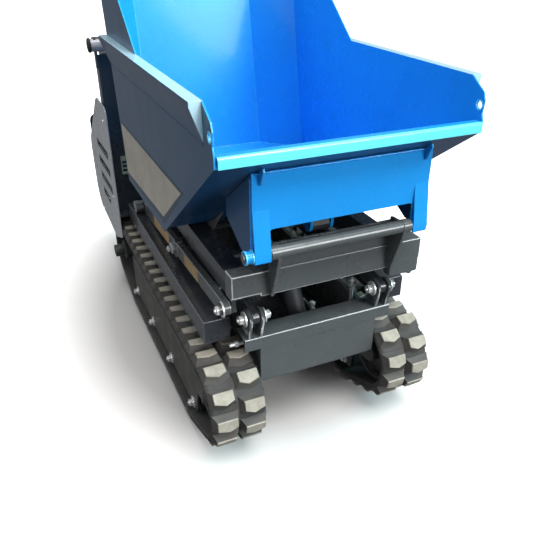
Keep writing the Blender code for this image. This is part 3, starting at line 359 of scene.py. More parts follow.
def lathe(shape, outline, centre, axis=(1, 0, 0), steps=48, closed=False):
    """Adds a solid turned about an axis through centre, from (distance along, radius) points."""
    turn = Vector(axis).to_track_quat("X", "Z").to_matrix().to_4x4()
    place = Matrix.Translation(Vector(centre)) @ turn
    rings = []
    for along, radius in outline:
        if radius < 1e-6:
            rings.append([shape.verts.new(place @ Vector((along, 0.0, 0.0)))])
            continue
        angles = [2 * math.pi * k / steps for k in range(steps)]
        rings.append([shape.verts.new(place @ Vector((along, radius * math.cos(a), radius * math.sin(a))))
                      for a in angles])
    pairs = list(zip(rings, rings[1:] + rings[:1] if closed else rings[1:]))
    for here, there in pairs:
        for k in range(steps):
            corners = [here[k % len(here)], here[(k + 1) % len(here)],
                       there[(k + 1) % len(there)], there[k % len(there)]]
            unique = list(dict.fromkeys(corners))
            if len(unique) > 2:
                shape.faces.new(unique)
    return shape


def hexagon_bolt(shape, at, axis, across, washer=True):
    """Adds a bolt head on its washer, standing out from a face along axis."""
    at, axis = Vector(at), Vector(axis).normalized()
    turn = axis.to_track_quat("Z", "Y").to_matrix().to_4x4()
    base = 0.0
    if washer:
        base = across * 0.14
        bar(shape, at - axis * 0.0005, at + axis * base, across * 0.92, 24)
    head = across * 0.62
    spot = Matrix.Translation(at + axis * (base + head / 2 - 0.0002)) @ turn
    made = bmesh.ops.create_cone(shape, cap_ends=True, segments=6, radius1=across * 0.577,
                                 radius2=across * 0.577, depth=head, matrix=spot)
    edges = list(dict.fromkeys(e for v in made["verts"] for e in v.link_edges))
    bmesh.ops.bevel(shape, geom=edges, offset=across * 0.045, segments=1, affect="EDGES")
    top = base + head
    bar(shape, at + axis * (top - 0.001), at + axis * (top + across * 0.16), across * 0.26, 16)
    return shape


def weld_bead(name, route, radius, body, ripple=0.0022, paint=None):
    """A run of weld: a thin ridge whose radius rises and falls with each drop."""
    shape = bmesh.new()
    rings = []
    total = sum((Vector(b) - Vector(a)).length for a, b in zip(route, route[1:]))
    count = max(8, int(total / ripple))
    points = [walk(route, total * k / count) for k in range(count + 1)]
    for k, spot in enumerate(points):
        ahead = points[min(k + 1, count)] - points[max(k - 1, 0)]
        turn = ahead.to_track_quat("Z", "Y")
        wobble = 1.0 + 0.28 * math.sin(k * 2.1) + 0.35 * noise(spot * 90.0)
        wide = radius * wobble * (0.4 if k in (0, count) else 1.0)
        rings.append([shape.verts.new(spot + turn @ Vector((wide * math.cos(a), wide * math.sin(a), 0.0)))
                      for a in (2 * math.pi * j / 8 for j in range(8))])
    for here, there in zip(rings, rings[1:]):
        for j in range(8):
            shape.faces.new((here[j], here[(j + 1) % 8], there[(j + 1) % 8], there[j]))
    shape.faces.new(rings[0])
    shape.faces.new(list(reversed(rings[-1])))
    return piece(name, shape, paint or WELD, body, smooth=70)


def walk(route, distance):
    """The point at a distance along straight legs."""
    for a, b in zip(route, route[1:]):
        a, b = Vector(a), Vector(b)
        leg = (b - a).length
        if distance <= leg:
            return a.lerp(b, distance / leg)
        distance -= leg
    return Vector(route[-1])


def plate(shape, outline, x_low, x_high):
    """Adds a flat outline in the Y-Z plane, as thick as the two X values say."""
    first = [shape.verts.new((x_low, y, z)) for y, z in outline]
    last = [shape.verts.new((x_high, y, z)) for y, z in outline]
    shape.faces.new(first)
    shape.faces.new(list(reversed(last)))
    count = len(outline)
    for k in range(count):
        shape.faces.new((first[k], first[(k + 1) % count], last[(k + 1) % count], last[k]))
    return shape


# --- Tracks ------------------------------------------------------------------------------------
CARCASS = 0.010              # half the belt's thickness between the lugs
LUG_HEIGHT = 0.025
LINKS = 43
SECTIONS = 6                 # belt sections to a link


def belt_path():
    """The belt's neutral line: arcs and straights round idler, first and last rollers and sprocket."""
    idler = middle("idler_wheel_right")
    first, last = middle("bottom_roller_1_right"), middle("bottom_roller_4_right")
    sprocket = middle("drive_motor_right")
    reach = LUG_HEIGHT + CARCASS
    idler_radius = idler.y - BELT_LOW.y - reach
    sprocket_radius = BELT_HIGH.z - sprocket.z - reach
    roller_radius = first.z - GROUND - reach
    circles = ((idler.y, idler.z, idler_radius), (first.y, first.z, roller_radius),
               (last.y, last.z, roller_radius), (sprocket.y, sprocket.z, sprocket_radius))
    leave = []
    for here, there in zip(circles, circles[1:] + circles[:1]):
        away = math.atan2(there[1] - here[1], there[0] - here[0])
        distance = math.hypot(there[0] - here[0], there[1] - here[1])
        leave.append(away - math.acos((here[2] - there[2]) / distance))
    legs = []
    for k, (y, z, radius) in enumerate(circles):
        meet, go = leave[k - 1], leave[k]
        go += 2 * math.pi * math.ceil((meet - go) / (2 * math.pi))
        legs.append(("arc", radius * (go - meet), (y, z, radius, meet)))
        following = circles[(k + 1) % len(circles)]
        start = (y + radius * math.cos(go), z + radius * math.sin(go))
        end = (following[0] + following[2] * math.cos(go), following[1] + following[2] * math.sin(go))
        legs.append(("line", math.dist(start, end), (start, end, go)))
    return legs


BELT_LEGS = belt_path()
BELT_LENGTH = sum(length for _, length, _ in BELT_LEGS)


def on_belt(distance, offset):
    """A point at a distance along the belt and an offset outwards, as (y, z)."""
    distance %= BELT_LENGTH
    for kind, length, data in BELT_LEGS:
        if distance <= length:
            break
        distance -= length
    if kind == "arc":
        y, z, radius, meet = data
        angle = meet + distance / radius
        return y + (radius + offset) * math.cos(angle), z + (radius + offset) * math.sin(angle)
    start, end, normal = data
    part = distance / length
    return (start[0] + (end[0] - start[0]) * part + offset * math.cos(normal),
            start[1] + (end[1] - start[1]) * part + offset * math.sin(normal))


def belt_carcass(name, side):
    """The belt without its lugs: rounded edges, a groove inside, and a shallow valley outside."""
    half = size("rubber_track_right").x / 2
    section = [(-half + 0.004, -CARCASS), (-half, -CARCASS + 0.004), (-half, 0.002),
               (-half + 0.006, CARCASS - 0.002), (-half + 0.012, CARCASS), (-0.014, CARCASS),
               (-0.006, CARCASS - 0.003), (0.006, CARCASS - 0.003), (0.014, CARCASS),
               (half - 0.012, CARCASS), (half - 0.006, CARCASS - 0.002), (half, 0.002),
               (half, -CARCASS + 0.004), (half - 0.004, -CARCASS), (0.024, -CARCASS), (0.022, 0.0),
               (-0.022, 0.0), (-0.024, -CARCASS)]
    shape = bmesh.new()
    count = LINKS * SECTIONS
    rings = []
    for k in range(count):
        distance = BELT_LENGTH * k / count
        rings.append([shape.verts.new((side * TRACK_X + across, *on_belt(distance, height)))
                      for across, height in section])
    for here, there in zip(rings, rings[1:] + rings[:1]):
        for j in range(len(section)):
            j_next = (j + 1) % len(section)
            shape.faces.new((here[j], here[j_next], there[j_next], there[j]))
    return piece(name, shape, BELT, "chassis", [f"rubber_track_{name.split('_')[0]}"])


LUG_FACE = ((0.014, -0.013), (0.078, -0.013), (0.078, 0.011), (0.042, 0.020), (0.014, 0.011))
LUG_FOOT = ((0.002, -0.026), (0.0895, -0.028), (0.0895, 0.026), (0.046, 0.036), (0.002, 0.024))
LUG_LAYERS = ((CARCASS - 0.003, 1.00), (CARCASS + 0.001, 0.93), (CARCASS + 0.006, 0.62),
              (CARCASS + 0.013, 0.30), (CARCASS + LUG_HEIGHT - 0.004, 0.07),
              (CARCASS + LUG_HEIGHT - 0.001, 0.01), (CARCASS + LUG_HEIGHT, -0.045))     # (height, flare)


def lugs(name, side):
    """Two rows of five-cornered lugs, half a link apart, flared into the belt, with dusty worn faces."""
    shape = bmesh.new()
    pitch = BELT_LENGTH / LINKS
    count = len(LUG_FACE)
    for link in range(LINKS):
        for row in (-1, 1):
            start = (link + (0.5 if row * side > 0 else 0.0)) * pitch
            layers = []
            for height, spread in LUG_LAYERS:
                ring = []
                for (u_top, s_top), (u_foot, s_foot) in zip(LUG_FACE, LUG_FOOT):
                    u, along = u_top + (u_foot - u_top) * spread, s_top + (s_foot - s_top) * spread
                    spot = (side * TRACK_X + row * u, *on_belt(start + along, height))
                    ring.append(shape.verts.new(spot))
                layers.append(ring)
            for level, (here, there) in enumerate(zip(layers, layers[1:])):
                for j in range(count):
                    j_next = (j + 1) % count
                    face = shape.faces.new((here[j], here[j_next], there[j_next], there[j]))
                    face.material_index = 1 if level > len(LUG_LAYERS) - 4 else 0
            shape.faces.new(list(reversed(layers[0])))
            shape.faces.new(layers[-1]).material_index = 1
    return piece(name, shape, [LUG, DUSTY], "chassis", smooth=30)


def tracks():
    for word, side in SIDES:
        belt_carcass(f"{word}_belt", side)
        lugs(f"{word}_lugs", side)


# --- Wheels ------------------------------------------------------------------------------------
def running_gear():
    for word, side in SIDES:
        softened(f"idler_wheel_{word}", CAST, 0.0014)
        softened(f"drive_sprocket_{word}", CAST, 0.0012)
        # The track frame's rounded edges take the painted highlight paint.
        softened(f"track_frame_{word}", [SOILED, DARK_FOLD_HIGHLIGHT], 0.0020)
        softened(f"drive_motor_{word}", CAST, 0.0020)
        for name in ROLLER_NAMES:
            softened(f"{name}_{word}", CAST, 0.0012)
        track_bolts(word, side)


def track_bolts(word, side):
    """The zinc bolts that hold each roller's axle to the track frame's outer plate, with smaller ones inside,
    and a cast cap on the idler's hub.
    """
    shape = bmesh.new()
    face = max(abs(corner.x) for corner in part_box(f"track_frame_{word}"))
    for name in ROLLER_NAMES:
        spot = middle(f"{name}_{word}")
        hexagon_bolt(shape, (side * face, spot.y, spot.z), (side, 0, 0), 0.023)
        inside = side * (2 * TRACK_X - face)
        hexagon_bolt(shape, (inside, spot.y, spot.z), (-side, 0, 0), 0.019)
    piece(f"track_bolts_{word}", shape, ZINC, "chassis")
    shape = bmesh.new()
    spot = middle(f"idler_wheel_{word}")
    lathe(shape, [(-0.001, 0.0), (-0.001, 0.026), (0.004, 0.024), (0.007, 0.014), (0.012, 0.012),
                  (0.013, 0.0)], (side * face, spot.y, spot.z), (side, 0, 0), 32)
    piece(f"idler_cap_{word}", shape, CAST, "chassis")


# --- Everything that keeps its CAD shape --------------------------------------------------------
def rounded_window(shape):
    """The apron's window has round upper corners."""
    corners = edges_near(shape, lambda p: abs(abs(p.x) - 0.222) < 1e-4 and abs(p.z - 0.855) < 1e-4)
    corners = [e for e in corners if abs(e.verts[0].co.x - e.verts[1].co.x) < 1e-4]
    round_edges(shape, 0.016, 5, edges_given=corners)


def front_fold(shape):
    """The bent edge along the front of the chassis."""
    fold = edges_near(shape, lambda p: p.y < -0.7935 and abs(p.z - 0.451) < 1e-4)
    round_edges(shape, 0.0032, 4, edges_given=fold)


def cover_corner(shape):
    """The covers' top front corner is round."""
    corner = edges_near(shape, lambda p: abs(p.y - 0.335) < 1e-3 and abs(p.z - 0.895) < 1e-3)
    round_edges(shape, 0.052, 8, edges_given=corner)


def deck_corners(shape):
    """The rear wall's top corners are round."""
    corners = edges_near(shape, lambda p: abs(abs(p.x) - 0.392) < 1e-3 and abs(p.z - 0.740) < 1e-3)
    round_edges(shape, 0.040, 6, edges_given=corners)


def frame_pieces():
    """Stand-ins for the frame, lift, hydraulics and housing, each with its paint and edge radius."""
    rounding = {
        "chassis_frame": (GREY, 0.0015), "chassis_front_beam": (GREY, 0.0012), "rear_deck": (DARK, 0.0012),
        "bulkhead": (COLUMN, 0.0012), "engine": (CAST, 0.0040), "hydraulic_tank": (DARK, 0.0070),
        "fuel_tank": (DARK, 0.0120), "control_console": (DARK, 0.0030), "handlebar": (DARK, 0.0010),
        "inner_cross_tube": (DARK, 0.0010), "outer_cross_tube": (DARK, 0.0010),
        "subframe_front_beam": (GREY, 0.0026), "subframe_cross_member": (GREY, 0.0020),
        "tilt_bracket": (GREY, 0.0010), "skip_hinge_plate": (BLUE, 0.0012), "footboard": (DARK, 0.0020),
        "lift_cylinder_barrel": (MATT, 0.0012), "tip_cylinder_barrel": (MATT, 0.0012),
        "lift_cylinder_rod": (CHROME, 0.0010), "tip_cylinder_rod": (CHROME, 0.0010),
        **{name: (ZINC, 0.0008) for name in LEVER_NAMES}}
    for word, _ in SIDES:
        rounding[f"chassis_channel_{word}"] = (DARK, 0.0030)
        rounding[f"inner_arm_{word}"] = (DARK, 0.0014)
        rounding[f"outer_arm_{word}"] = (GREY, 0.0014)
        rounding[f"inner_arm_roller_{word}"] = (BRIGHT, 0.0010)
        rounding[f"outer_arm_roller_{word}"] = (BRIGHT, 0.0010)
        rounding[f"middle_pin_{word}"] = (ZINC, 0.0008)
        rounding[f"subframe_rail_{word}"] = (DARK, 0.0030)
        rounding[f"side_cover_{word}"] = (COVER, 0.0010)
    shaping = {"skip_hinge_plate": rounded_window, "chassis_front_beam": front_fold,
               "rear_deck": deck_corners, "side_cover_left": cover_corner, "side_cover_right": cover_corner}
    made = {node: softened(node, paint, width, shaping.get(node))
            for node, (paint, width) in rounding.items()}
    for face in made["chassis_front_beam"].data.polygons:     # only its front fold keeps the painted highlight
        if face.center.y > -0.788 or abs(face.center.z - 0.450) > 0.003:
            face.material_index = 0
    # Painted shade: the apron's outward side gussets take the dark underside paint.
    repaint(made["skip_hinge_plate"], UNDERSIDE_SHADE,
            lambda face: abs(face.normal.x) > 0.98 and abs(face.center.x) > 0.255 and face.area > 0.002)
    for node, eye in (("tip_cylinder_rod", (-0.750, 0.775)), ("lift_cylinder_rod", (-0.5005, 0.5359))):
        repaint(made[node], MATT, lambda face: math.dist(face.center.yz, eye) < 0.040)


def repaint(obj, paint, test):
    """Gives the faces that pass a test another paint."""
    obj.data.materials.append(paint)
    for face in obj.data.polygons:
        if test(face):
            face.material_index = len(obj.data.materials) - 1


def skip():
    """The tub: a rolled pouring lip, sheet folds bent over a few millimetres, painted shade on its outer
    walls and underside, and painted highlight on its folds, rim tops and lip.
    """
    shape = node_shape("skip")
    lip = edges_near(shape, lambda p: p.y < SKIP_FRONT + 0.0005 and abs(p.z - 1.081) < 1e-4)
    round_edges(shape, 0.009, 5, edges_given=lip)
    round_edges(shape, 0.0013, 2, 20.0)
    shape.normal_update()
    paints = [BLUE, BLUE_FOLD_HIGHLIGHT, SHADE, UNDERSIDE_SHADE, LIP_HIGHLIGHT, RIM_HIGHLIGHT]
    # Paint by where a face points: painted shade on the outer walls and rim slopes, painted highlight on rim
    # tops, caps and the lip's front, painted shade under the chute.
    for face in shape.faces:
        spot, normal = face.calc_center_median(), face.normal
        outside = abs(spot.x) > SKIP_WALL - 0.0015
        if outside and (abs(normal.x) > 0.98 or (abs(normal.x) > 0.6 and spot.y > -0.875)):
            face.material_index = paints.index(SHADE)
        elif abs(spot.x) > 0.380 and (normal.z > 0.9 or (normal.y < -0.9 and spot.y < -0.870)):
            face.material_index = paints.index(RIM_HIGHLIGHT)
        elif normal.z < -0.5 and spot.z < 1.05:
            face.material_index = paints.index(UNDERSIDE_SHADE)
        elif spot.y < -0.93 and normal.y < -0.2 and spot.z > 1.052 and abs(spot.x) < 0.375:
            face.material_index = paints.index(LIP_HIGHLIGHT)
    piece("skip_finish", shape, paints, "skip", ["skip"], smooth=40)


def skip_details():
    """Welds where the apron meets the chute, small gussets under the lip, and the ears' grommets."""
    weld_y = TIP_AXIS.y - 0.0035
    weld_bead("apron_weld", [(-0.262, weld_y, 1.0080), (0.262, weld_y, 1.0080)], 0.0030, "skip",
              paint=BLUE_WELD)
    for word, side in SIDES:
        foot, top = (Vector((side * 0.2685, TIP_AXIS.y + 0.006, z)) for z in (0.800, 0.996))
        weld_bead(f"gusset_weld_{word}", [foot, top], 0.0026, "skip", paint=BLUE_WELD)
        shape = bmesh.new()
        x_low, x_high = sorted((side * 0.243, side * 0.248))
        plate(shape, [(-0.8925, 0.978), (-0.8925, 1.010), (-0.914, 1.0270), (-0.918, 1.0200),
                      (-0.901, 0.984)], x_low, x_high)
        round_edges(shape, 0.0008)
        piece(f"lip_gusset_{word}", shape, [BLUE, BLUE_FOLD_HIGHLIGHT], "skip")
        shape = bmesh.new()
        fold_x = side * (SKIP_WALL - 0.0002)
        bar(shape, (fold_x, -0.876, 1.0905), (fold_x, 0.170, 1.0905), 0.0022, 12)
        piece(f"rim_fold_{word}", shape, SHADE, "skip")
        shape = bmesh.new()
        for face in (SKIP_WALL + 0.0002, SKIP_WALL - 0.0042):
            lathe(shape, [(-0.0010, 0.0102), (0.0010, 0.0102), (0.0013, 0.0120), (0.0008, 0.0145),
                          (-0.0008, 0.0145), (-0.0013, 0.0120)],
                  (side * face, -0.925, 1.120), steps=28, closed=True)
        # The grommets wear the painted highlight paint.
        piece(f"ear_ring_{word}", shape, BLUE_FOLD_HIGHLIGHT, "skip")


def labels():
    """Plain panels where the machine carries printed ones."""
    border = [(0.134, 0.899), (0.108, 0.690), (-0.424, 0.704), (-0.680, 0.899)]
    panel = [(0.124, 0.888), (0.104, 0.704), (-0.420, 0.727), (-0.648, 0.888)]
    for word, side in SIDES:
        for name, outline, lift, paint in (("border", border, 0.0003, NAVY), ("panel", panel, 0.0006, PANEL)):
            shape = bmesh.new()
            low, high = sorted((side * (SKIP_WALL - 0.001), side * (SKIP_WALL + lift)))
            plate(shape, outline, low, high)
            piece(f"skip_{name}_{word}", shape, paint, "skip")
        shape = bmesh.new()
        for start, end in ((0.225, 0.375), (0.560, 0.780)):
            arm_label(shape, side * OUTER_FACE, side, start, end)
        piece(f"arm_labels_{word}", shape, TAN, body_of("outer_arm_left"))
    shape = bmesh.new()
    block(shape, (-0.352, BULKHEAD_FACE - 0.0014, 0.590), (-0.318, BULKHEAD_FACE + 0.0008, 0.672), 0.0008)
    piece("bulkhead_label", shape, PALE, "chassis")
    shape = bmesh.new()
    for z in (0.604, 0.622, 0.640):
        block(shape, (-0.348, BULKHEAD_FACE - 0.0018, z), (-0.322, BULKHEAD_FACE - 0.0010, z + 0.010), 0.0003)
    piece("bulkhead_label_bars", shape, NAVY, "chassis")


def arm_bolts(word, side):
    """The bolts and spacer at an arm pair's front and middle pivots, and the end of the adjuster rod."""
    arms, pin = body_of("outer_arm_left"), body_of(f"middle_pin_{word}")
    centre = middle(f"middle_pin_{word}")
    shape = bmesh.new()
    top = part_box("outer_arm_right")[1].z - 0.025
    hexagon_bolt(shape, (side * OUTER_FACE, LIFT_AXIS.y, top), (side, 0, 0), 0.026)
    piece(f"arm_pivot_bolt_{word}", shape, ZINC, arms)
    shape = bmesh.new()
    hexagon_bolt(shape, (side * 0.3303, centre.y, centre.z), (side, 0, 0), 0.022)
    piece(f"middle_bolt_{word}", shape, ZINC, pin)
    shape = bmesh.new()
    lathe(shape, [(0.2356, 0.0), (0.2356, 0.029), (0.2375, 0.031), (0.2945, 0.031), (0.2964, 0.029),
                  (0.2964, 0.0)], (0.0, centre.y, centre.z), (side, 0, 0), 36)
    piece(f"middle_spacer_{word}", shape, DARK, pin)
    shape = bmesh.new()
    rod_y, rod_z = -0.740, 0.407
    hexagon_bolt(shape, (side * 0.2518, LIFT_AXIS.y, LIFT_AXIS.z), (side, 0, 0), 0.026)
    hexagon_bolt(shape, (side * 0.1922, LIFT_AXIS.y, LIFT_AXIS.z), (-side, 0, 0), 0.026)
    bar(shape, (side * 0.243, rod_y, rod_z), (side * 0.288, rod_y, rod_z), 0.0062)
    hexagon_bolt(shape, (side * 0.2600, rod_y, rod_z), (side, 0, 0), 0.018, washer=False)
    piece(f"front_bolts_{word}", shape, ZINC, "chassis")


def cover_details(word, side):
    """A side cover's pan-head screws and dark strips round its four slots, painted shade that makes the slots
    look deeper.
    """
    shape = bmesh.new()
    for y, z in ((0.430, 0.480), (0.430, 0.820), (0.880, 0.415), (0.760, 0.300)):
        lathe(shape, [(-0.001, 0.0), (-0.001, 0.0085), (0.0008, 0.0085), (0.0026, 0.0066), (0.0030, 0.0034),
                      (0.0016, 0.0030), (0.0016, 0.0)],
              (side * (COVER_FACE + 0.0002), y, z), (side, 0, 0), 24)
    piece(f"cover_screws_{word}", shape, ZINC, "chassis")
    shape = bmesh.new()
    low, high = sorted((side * (COVER_FACE - 0.001), side * (COVER_FACE + 0.001)))
    # Painted shade: dark strips round each slot.
    for k in range(4):
        front, z = (0.530 if k == 0 else 0.435), 0.420 + 0.080 * k
        for y_low, y_high, z_low, z_high in ((front - 0.006, 0.676, z - 0.0075, z + 0.0005),
                                             (front - 0.006, 0.676, z + 0.0175, z + 0.0255),
                                             (front - 0.006, front + 0.0005, z, z + 0.018),
                                             (0.6695, 0.676, z, z + 0.018)):
            block(shape, (low, y_low, z_low), (high, y_high, z_high), 0.0006)
    piece(f"slot_shade_rims_{word}", shape, MATT, "chassis")


def rail_guide(word, side):
    """The bent plate under the chute that sits beside the subframe's rail."""
    shape = bmesh.new()
    low, high = sorted((side * 0.2262, side * 0.2312))
    plate(shape, [(-0.552, 0.7680), (-0.464, 0.7040), (-0.340, 0.7040), (-0.440, 0.6550)], low, high)
    round_edges(shape, 0.0010)
    piece(f"rail_guide_{word}", shape, [GUIDE, GREY_FOLD_HIGHLIGHT], "skip")


def apron_leg(word, side):
    """The kinked foot of the apron, beside its window."""
    shape = bmesh.new()
    low, high = sorted((side * 0.2222, side * 0.2680))
    plate(shape, [(-0.8926, 0.915), (-0.9090, 0.800), (-0.9095, 0.7700), (-0.9065, 0.7668), (-0.9035, 0.7668),
                  (-0.9035, 0.800), (-0.8900, 0.900)], low, high)
    piece(f"apron_leg_{word}", shape, BLUE, "skip", smooth=20)


def pressure_fittings():
    """Two elbows of the oil lines on the chassis: a pipe up, two nuts, and a pipe to the rear."""
    shape = bmesh.new()
    for x, y, z, foot in ((0.056, -0.630, 0.401, 0.2785), (0.172, -0.690, 0.500, 0.400)):
        bar(shape, (x, y, foot), (x, y, z + 0.014), 0.0062, 20)
        hexagon_bolt(shape, (x, y, z + 0.004), (0, 0, 1), 0.020, washer=False)
        hexagon_bolt(shape, (x, y + 0.004, z - 0.010), (0, -1, 0), 0.017, washer=False)
        bar(shape, (x, y + 0.002, z - 0.010), (x, y + 0.070, z - 0.010), 0.0050, 20)
    piece("pressure_fittings", shape, ZINC, "chassis")


def top_edge():
    """The rolled edge along the top of the bulkhead, with a plug in each end."""
    shape = bmesh.new()
    lathe(shape, [(-0.4120, 0.0), (-0.4120, 0.0220), (-0.4100, 0.0245), (0.4100, 0.0245), (0.4120, 0.0220),
                  (0.4120, 0.0)], TOP_EDGE, steps=36)
    piece("rolled_top_edge", shape, ROLL, "chassis")
    shape = bmesh.new()
    for _, side in SIDES:
        lathe(shape, [(0.0, 0.0), (0.0, 0.0265), (0.002, 0.0280), (0.006, 0.0280), (0.010, 0.0240),
                      (0.0115, 0.0160), (0.0090, 0.0120), (0.0090, 0.0)],
              (side * 0.4125, *TOP_EDGE[1:]), (side, 0, 0), 32)
    piece("edge_end_plugs", shape, GRIP, "chassis")


def bracket_welds():
    """The runs of weld that hold the tilt bracket to the subframe's front beam."""
    front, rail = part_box("subframe_front_beam")[0].y, body_of("subframe_front_beam")
    weld_y = front - 0.0005
    weld_bead("bracket_weld", [(-0.191, weld_y, 0.7056), (0.191, weld_y, 0.7056)], 0.0021, rail)
    for _, side in SIDES:
        foot, top = (Vector((side * 0.2015, front - 0.001, z)) for z in (0.634, 0.700))
        weld_bead(f"cheek_weld_{side + 1}", [foot, top], 0.0018, rail, paint=GREY)


def fasteners():
    """Bolts, covers' details, fittings and welds, and the rings round the tilt tube's sleeve."""
    for word, side in SIDES:
        arm_bolts(word, side)
        cover_details(word, side)
        rail_guide(word, side)
    for word, side in SIDES:
        apron_leg(word, side)
    shape = bmesh.new()
    for x in (-0.2895, -0.2705):
        lathe(shape, [(-0.0016, 0.0170), (-0.0016, 0.0198), (0.0016, 0.0198), (0.0016, 0.0170)],
              (x, TIP_AXIS.y, TIP_AXIS.z), steps=32, closed=True)
    # The sleeve rings wear the painted highlight paint.
    piece("sleeve_rings", shape, BLUE_FOLD_HIGHLIGHT, "skip")
    shape = bmesh.new()
    block(shape, (0.205, -0.8436, 0.5900), (0.3112, -0.8045, 0.7046), 0.009)
    piece("beam_end_cap", shape, [GREY, GREY_FOLD_HIGHLIGHT], body_of("subframe_front_beam"))
    pressure_fittings()
    top_edge()
    bracket_welds()


def rear_wall():
    """Pressed louvres, a latch and two round reflectors on the housing's rear wall."""
    shape = bmesh.new()
    for k in range(5):
        ends = [Vector((x, REAR_FACE - 0.0005, 0.590 + 0.028 * k)) for x in (-0.200, 0.200)]
        bar(shape, *ends, 0.0036, 16)
        for end in ends:
            bmesh.ops.create_uvsphere(shape, u_segments=12, v_segments=8, radius=0.0036,
                                      matrix=Matrix.Translation(end))
    piece("rear_louvres", shape, DARK, "chassis")
    shape = bmesh.new()
    lathe(shape, [(-0.001, 0.0), (-0.001, 0.0160), (0.002, 0.0160), (0.004, 0.0120), (0.008, 0.0105),
                  (0.008, 0.0)], (0.0, REAR_FACE, 0.840), (0, 1, 0), 32)
    for x in (-0.255, 0.255):
        for z in (0.450, 0.560, 0.700, 0.860):
            hexagon_bolt(shape, (x, REAR_FACE, z), (0, 1, 0), 0.011)
    piece("rear_latch_and_bolts", shape, ZINC, "chassis")
    shape = bmesh.new()
    for x in (-0.345, 0.345):
        lathe(shape, [(-0.001, 0.0), (-0.001, 0.024), (0.004, 0.024), (0.0065, 0.020), (0.0072, 0.0)],
              (x, REAR_FACE, 0.640), (0, 1, 0), 36)
    piece("rear_reflectors", shape, RED, "chassis")


def engine_bay():
    """Cooling fins, the pull starter's ribs, the silencer and the tanks' caps."""
    shape = bmesh.new()
    for k in range(9):
        z = 0.650 + 0.0135 * k
        block(shape, (-0.287, 0.513, z), (-0.053, 0.727, z + 0.0045), 0.0012)
    piece("cylinder_fins", shape, CAST, "chassis")
    shape = bmesh.new()
    for k in range(5):
        radius = 0.030 + 0.014 * k
        low, high = radius - 0.003, radius + 0.003
        ring = [(-0.0025, low), (-0.0025, high), (0.002, high), (0.002, low)]
        lathe(shape, ring, (-0.3560, 0.620, 0.560), steps=40, closed=True)
    lathe(shape, [(-0.002, 0.0), (-0.002, 0.020), (0.006, 0.018), (0.010, 0.010), (0.010, 0.0)],
          (-0.356, 0.620, 0.560), (-1, 0, 0), 32)
    piece("starter_ribs", shape, DARK, "chassis")
    shape = bmesh.new()
    lathe(shape, [(0.0, 0.0), (0.0, 0.032), (0.006, 0.038), (0.124, 0.038), (0.130, 0.032), (0.130, 0.0)],
          (-0.240, 0.800, 0.620), steps=32)
    for k in range(6):
        lathe(shape, [(-0.003, 0.0375), (-0.003, 0.0395), (0.003, 0.0395), (0.003, 0.0375)],
              (-0.225 + 0.020 * k, 0.800, 0.620), steps=32, closed=True)
    bar(shape, (-0.175, 0.755, 0.620), (-0.175, 0.790, 0.620), 0.014)
    piece("silencer", shape, BRIGHT, "chassis")
    shape = bmesh.new()
    for (x, y, z), radius in (((0.280, 0.540, 0.831), 0.031), ((-0.120, 0.540, 0.9135), 0.0340)):
        lathe(shape, [(0.0, 0.0), (0.0, radius), (0.010, radius), (0.0145, radius * 0.86), (0.0150, 0.0)],
              (x, y, z), (0, 0, 1), 36)
        for k in range(18):
            angle = 2 * math.pi * k / 18
            spot = Vector((x + radius * math.cos(angle), y + radius * math.sin(angle), z + 0.001))
            bar(shape, spot, spot + Vector((0.0, 0.0, 0.008)), 0.0016, 8)
    piece("tank_caps", shape, GRIP, "chassis")


